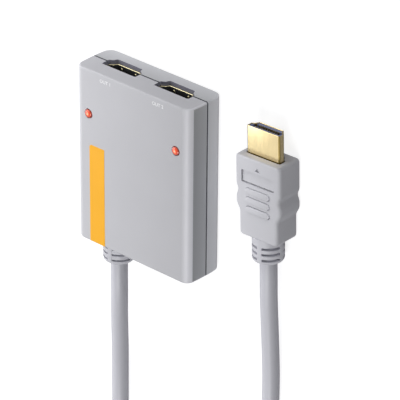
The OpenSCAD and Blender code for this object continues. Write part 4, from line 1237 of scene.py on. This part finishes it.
class SPLITTER_OT_stage(Operator):
    """Lays the floor and sets the studio light"""
    bl_idname = "splitter.stage"
    bl_label = "Stage"

    def execute(self, context):
        stage = context.scene.splitter.stage
        half = 3.0
        mesh = bpy.data.meshes.new("floor")
        mesh.from_pydata([(-half, -half, 0), (half, -half, 0), (half, half, 0), (-half, half, 0)], [], [(0, 1, 2, 3)])
        mesh.transform(Matrix.Translation((0, 0, -mm(0.05))))
        # Pale lit studio paper: even and matt, lifted to white where the camera sees it
        material, tree, shader, _ = finish("studio_paper", stage.floor_colour, 0.9)
        seen = add(tree, "ShaderNodeLightPath").outputs
        lift = add(tree, "ShaderNodeMath", {0: seen["Is Camera Ray"], 1: 0.6, 2: 0.21}, operation="MULTIPLY_ADD")
        lift = add(tree, "ShaderNodeMath", {
            0: seen["Is Glossy Ray"], 1: -0.15, 2: lift.outputs[0]}, operation="MULTIPLY_ADD")
        shader.inputs["Emission Color"].default_value = (1, 1, 1, 1)
        shader.inputs["Specular IOR Level"].default_value = 0.0
        tree.links.new(lift.outputs[0], shader.inputs["Emission Strength"])
        mesh.materials.append(material)
        floor = shown("floor", mesh)

        world = bpy.data.worlds.new("studio")
        world.use_nodes = True
        tree = world.node_tree
        tree.nodes.clear()
        seen = add(tree, "ShaderNodeLightPath").outputs
        direct = add(tree, "ShaderNodeMath", {
            0: seen["Is Camera Ray"], 1: seen["Is Glossy Ray"]}, operation="MAXIMUM")
        lit = add(tree, "ShaderNodeMath", {0: direct.outputs[0], 1: seen["Is Transmission Ray"]}, operation="MAXIMUM")
        strength = add(tree, "ShaderNodeMapRange", {"Value": lit.outputs[0], "To Min": stage.sky, "To Max": 1.0})
        sky = add(tree, "ShaderNodeBackground", {"Color": (1, 1, 1, 1), "Strength": strength.outputs[0]})
        add(tree, "ShaderNodeOutputWorld", {"Surface": sky.outputs[0]})
        context.scene.world = world

        aim = Vector((0, mm(-5), mm(10)))
        lamps = (
            ("key_light", stage.key, (-0.82, 0.18, 0.54), 0.32, 0.34, 0.34),
            ("front_light", stage.front, (0.4, -0.471, 0.785), 0.6, 0.32, 0.28),
            ("top_light", stage.top, (-0.1, 0.95, 0.28), 1.0, 1.8, 0.5),
        )
        for name, watts, way, distance, wide, tall in lamps:
            data = bpy.data.lights.new(name, "AREA")
            data.shape = "RECTANGLE"
            data.size = wide
            data.size_y = tall
            data.energy = watts
            lamp = shown(name, data)
            out = Vector(way).normalized()
            lamp.visible_camera = False
            facing = out.to_track_quat("Z", "Y").to_matrix().to_4x4()
            lamp.matrix_world = Matrix.Translation(aim + out * distance) @ facing
        context.scene.view_settings.view_transform = "Standard"
        return {"FINISHED"}


class SPLITTER_PT_panel(Panel):
    """Lists the splitter's pieces in the order they are made"""
    bl_idname = "SPLITTER_PT_panel"
    bl_label = "Video Splitter"
    bl_space_type = "VIEW_3D"
    bl_region_type = "UI"
    bl_category = "Splitter"

    def draw(self, context):
        for piece in PIECES:
            self.layout.operator(piece.bl_idname)


PIECES = (
    SPLITTER_OT_camera, SPLITTER_OT_lead, SPLITTER_OT_case, SPLITTER_OT_sockets, SPLITTER_OT_lamps, SPLITTER_OT_label,
    SPLITTER_OT_strain_reliefs, SPLITTER_OT_grip, SPLITTER_OT_plug_metal, SPLITTER_OT_inside, SPLITTER_OT_stage,
)
CLASSES = (
    CaseSettings, SocketSettings, LampSettings, LabelSettings, LeadSettings, PlugSettings, StageSettings,
    SplitterSettings, *PIECES, SPLITTER_PT_panel,
)


def register():
    """Makes the settings, the operators and the panel known."""
    for item in CLASSES:
        bpy.utils.register_class(item)
    bpy.types.Scene.splitter = PointerProperty(type=SplitterSettings)


def unregister():
    """Takes them away again."""
    del bpy.types.Scene.splitter
    for item in reversed(CLASSES):
        bpy.utils.unregister_class(item)


def main():
    """Builds every piece in order."""
    register()
    for piece in PIECES:
        group, name = piece.bl_idname.split(".")
        getattr(getattr(bpy.ops, group), name)()


if __name__ == "__main__":
    main()
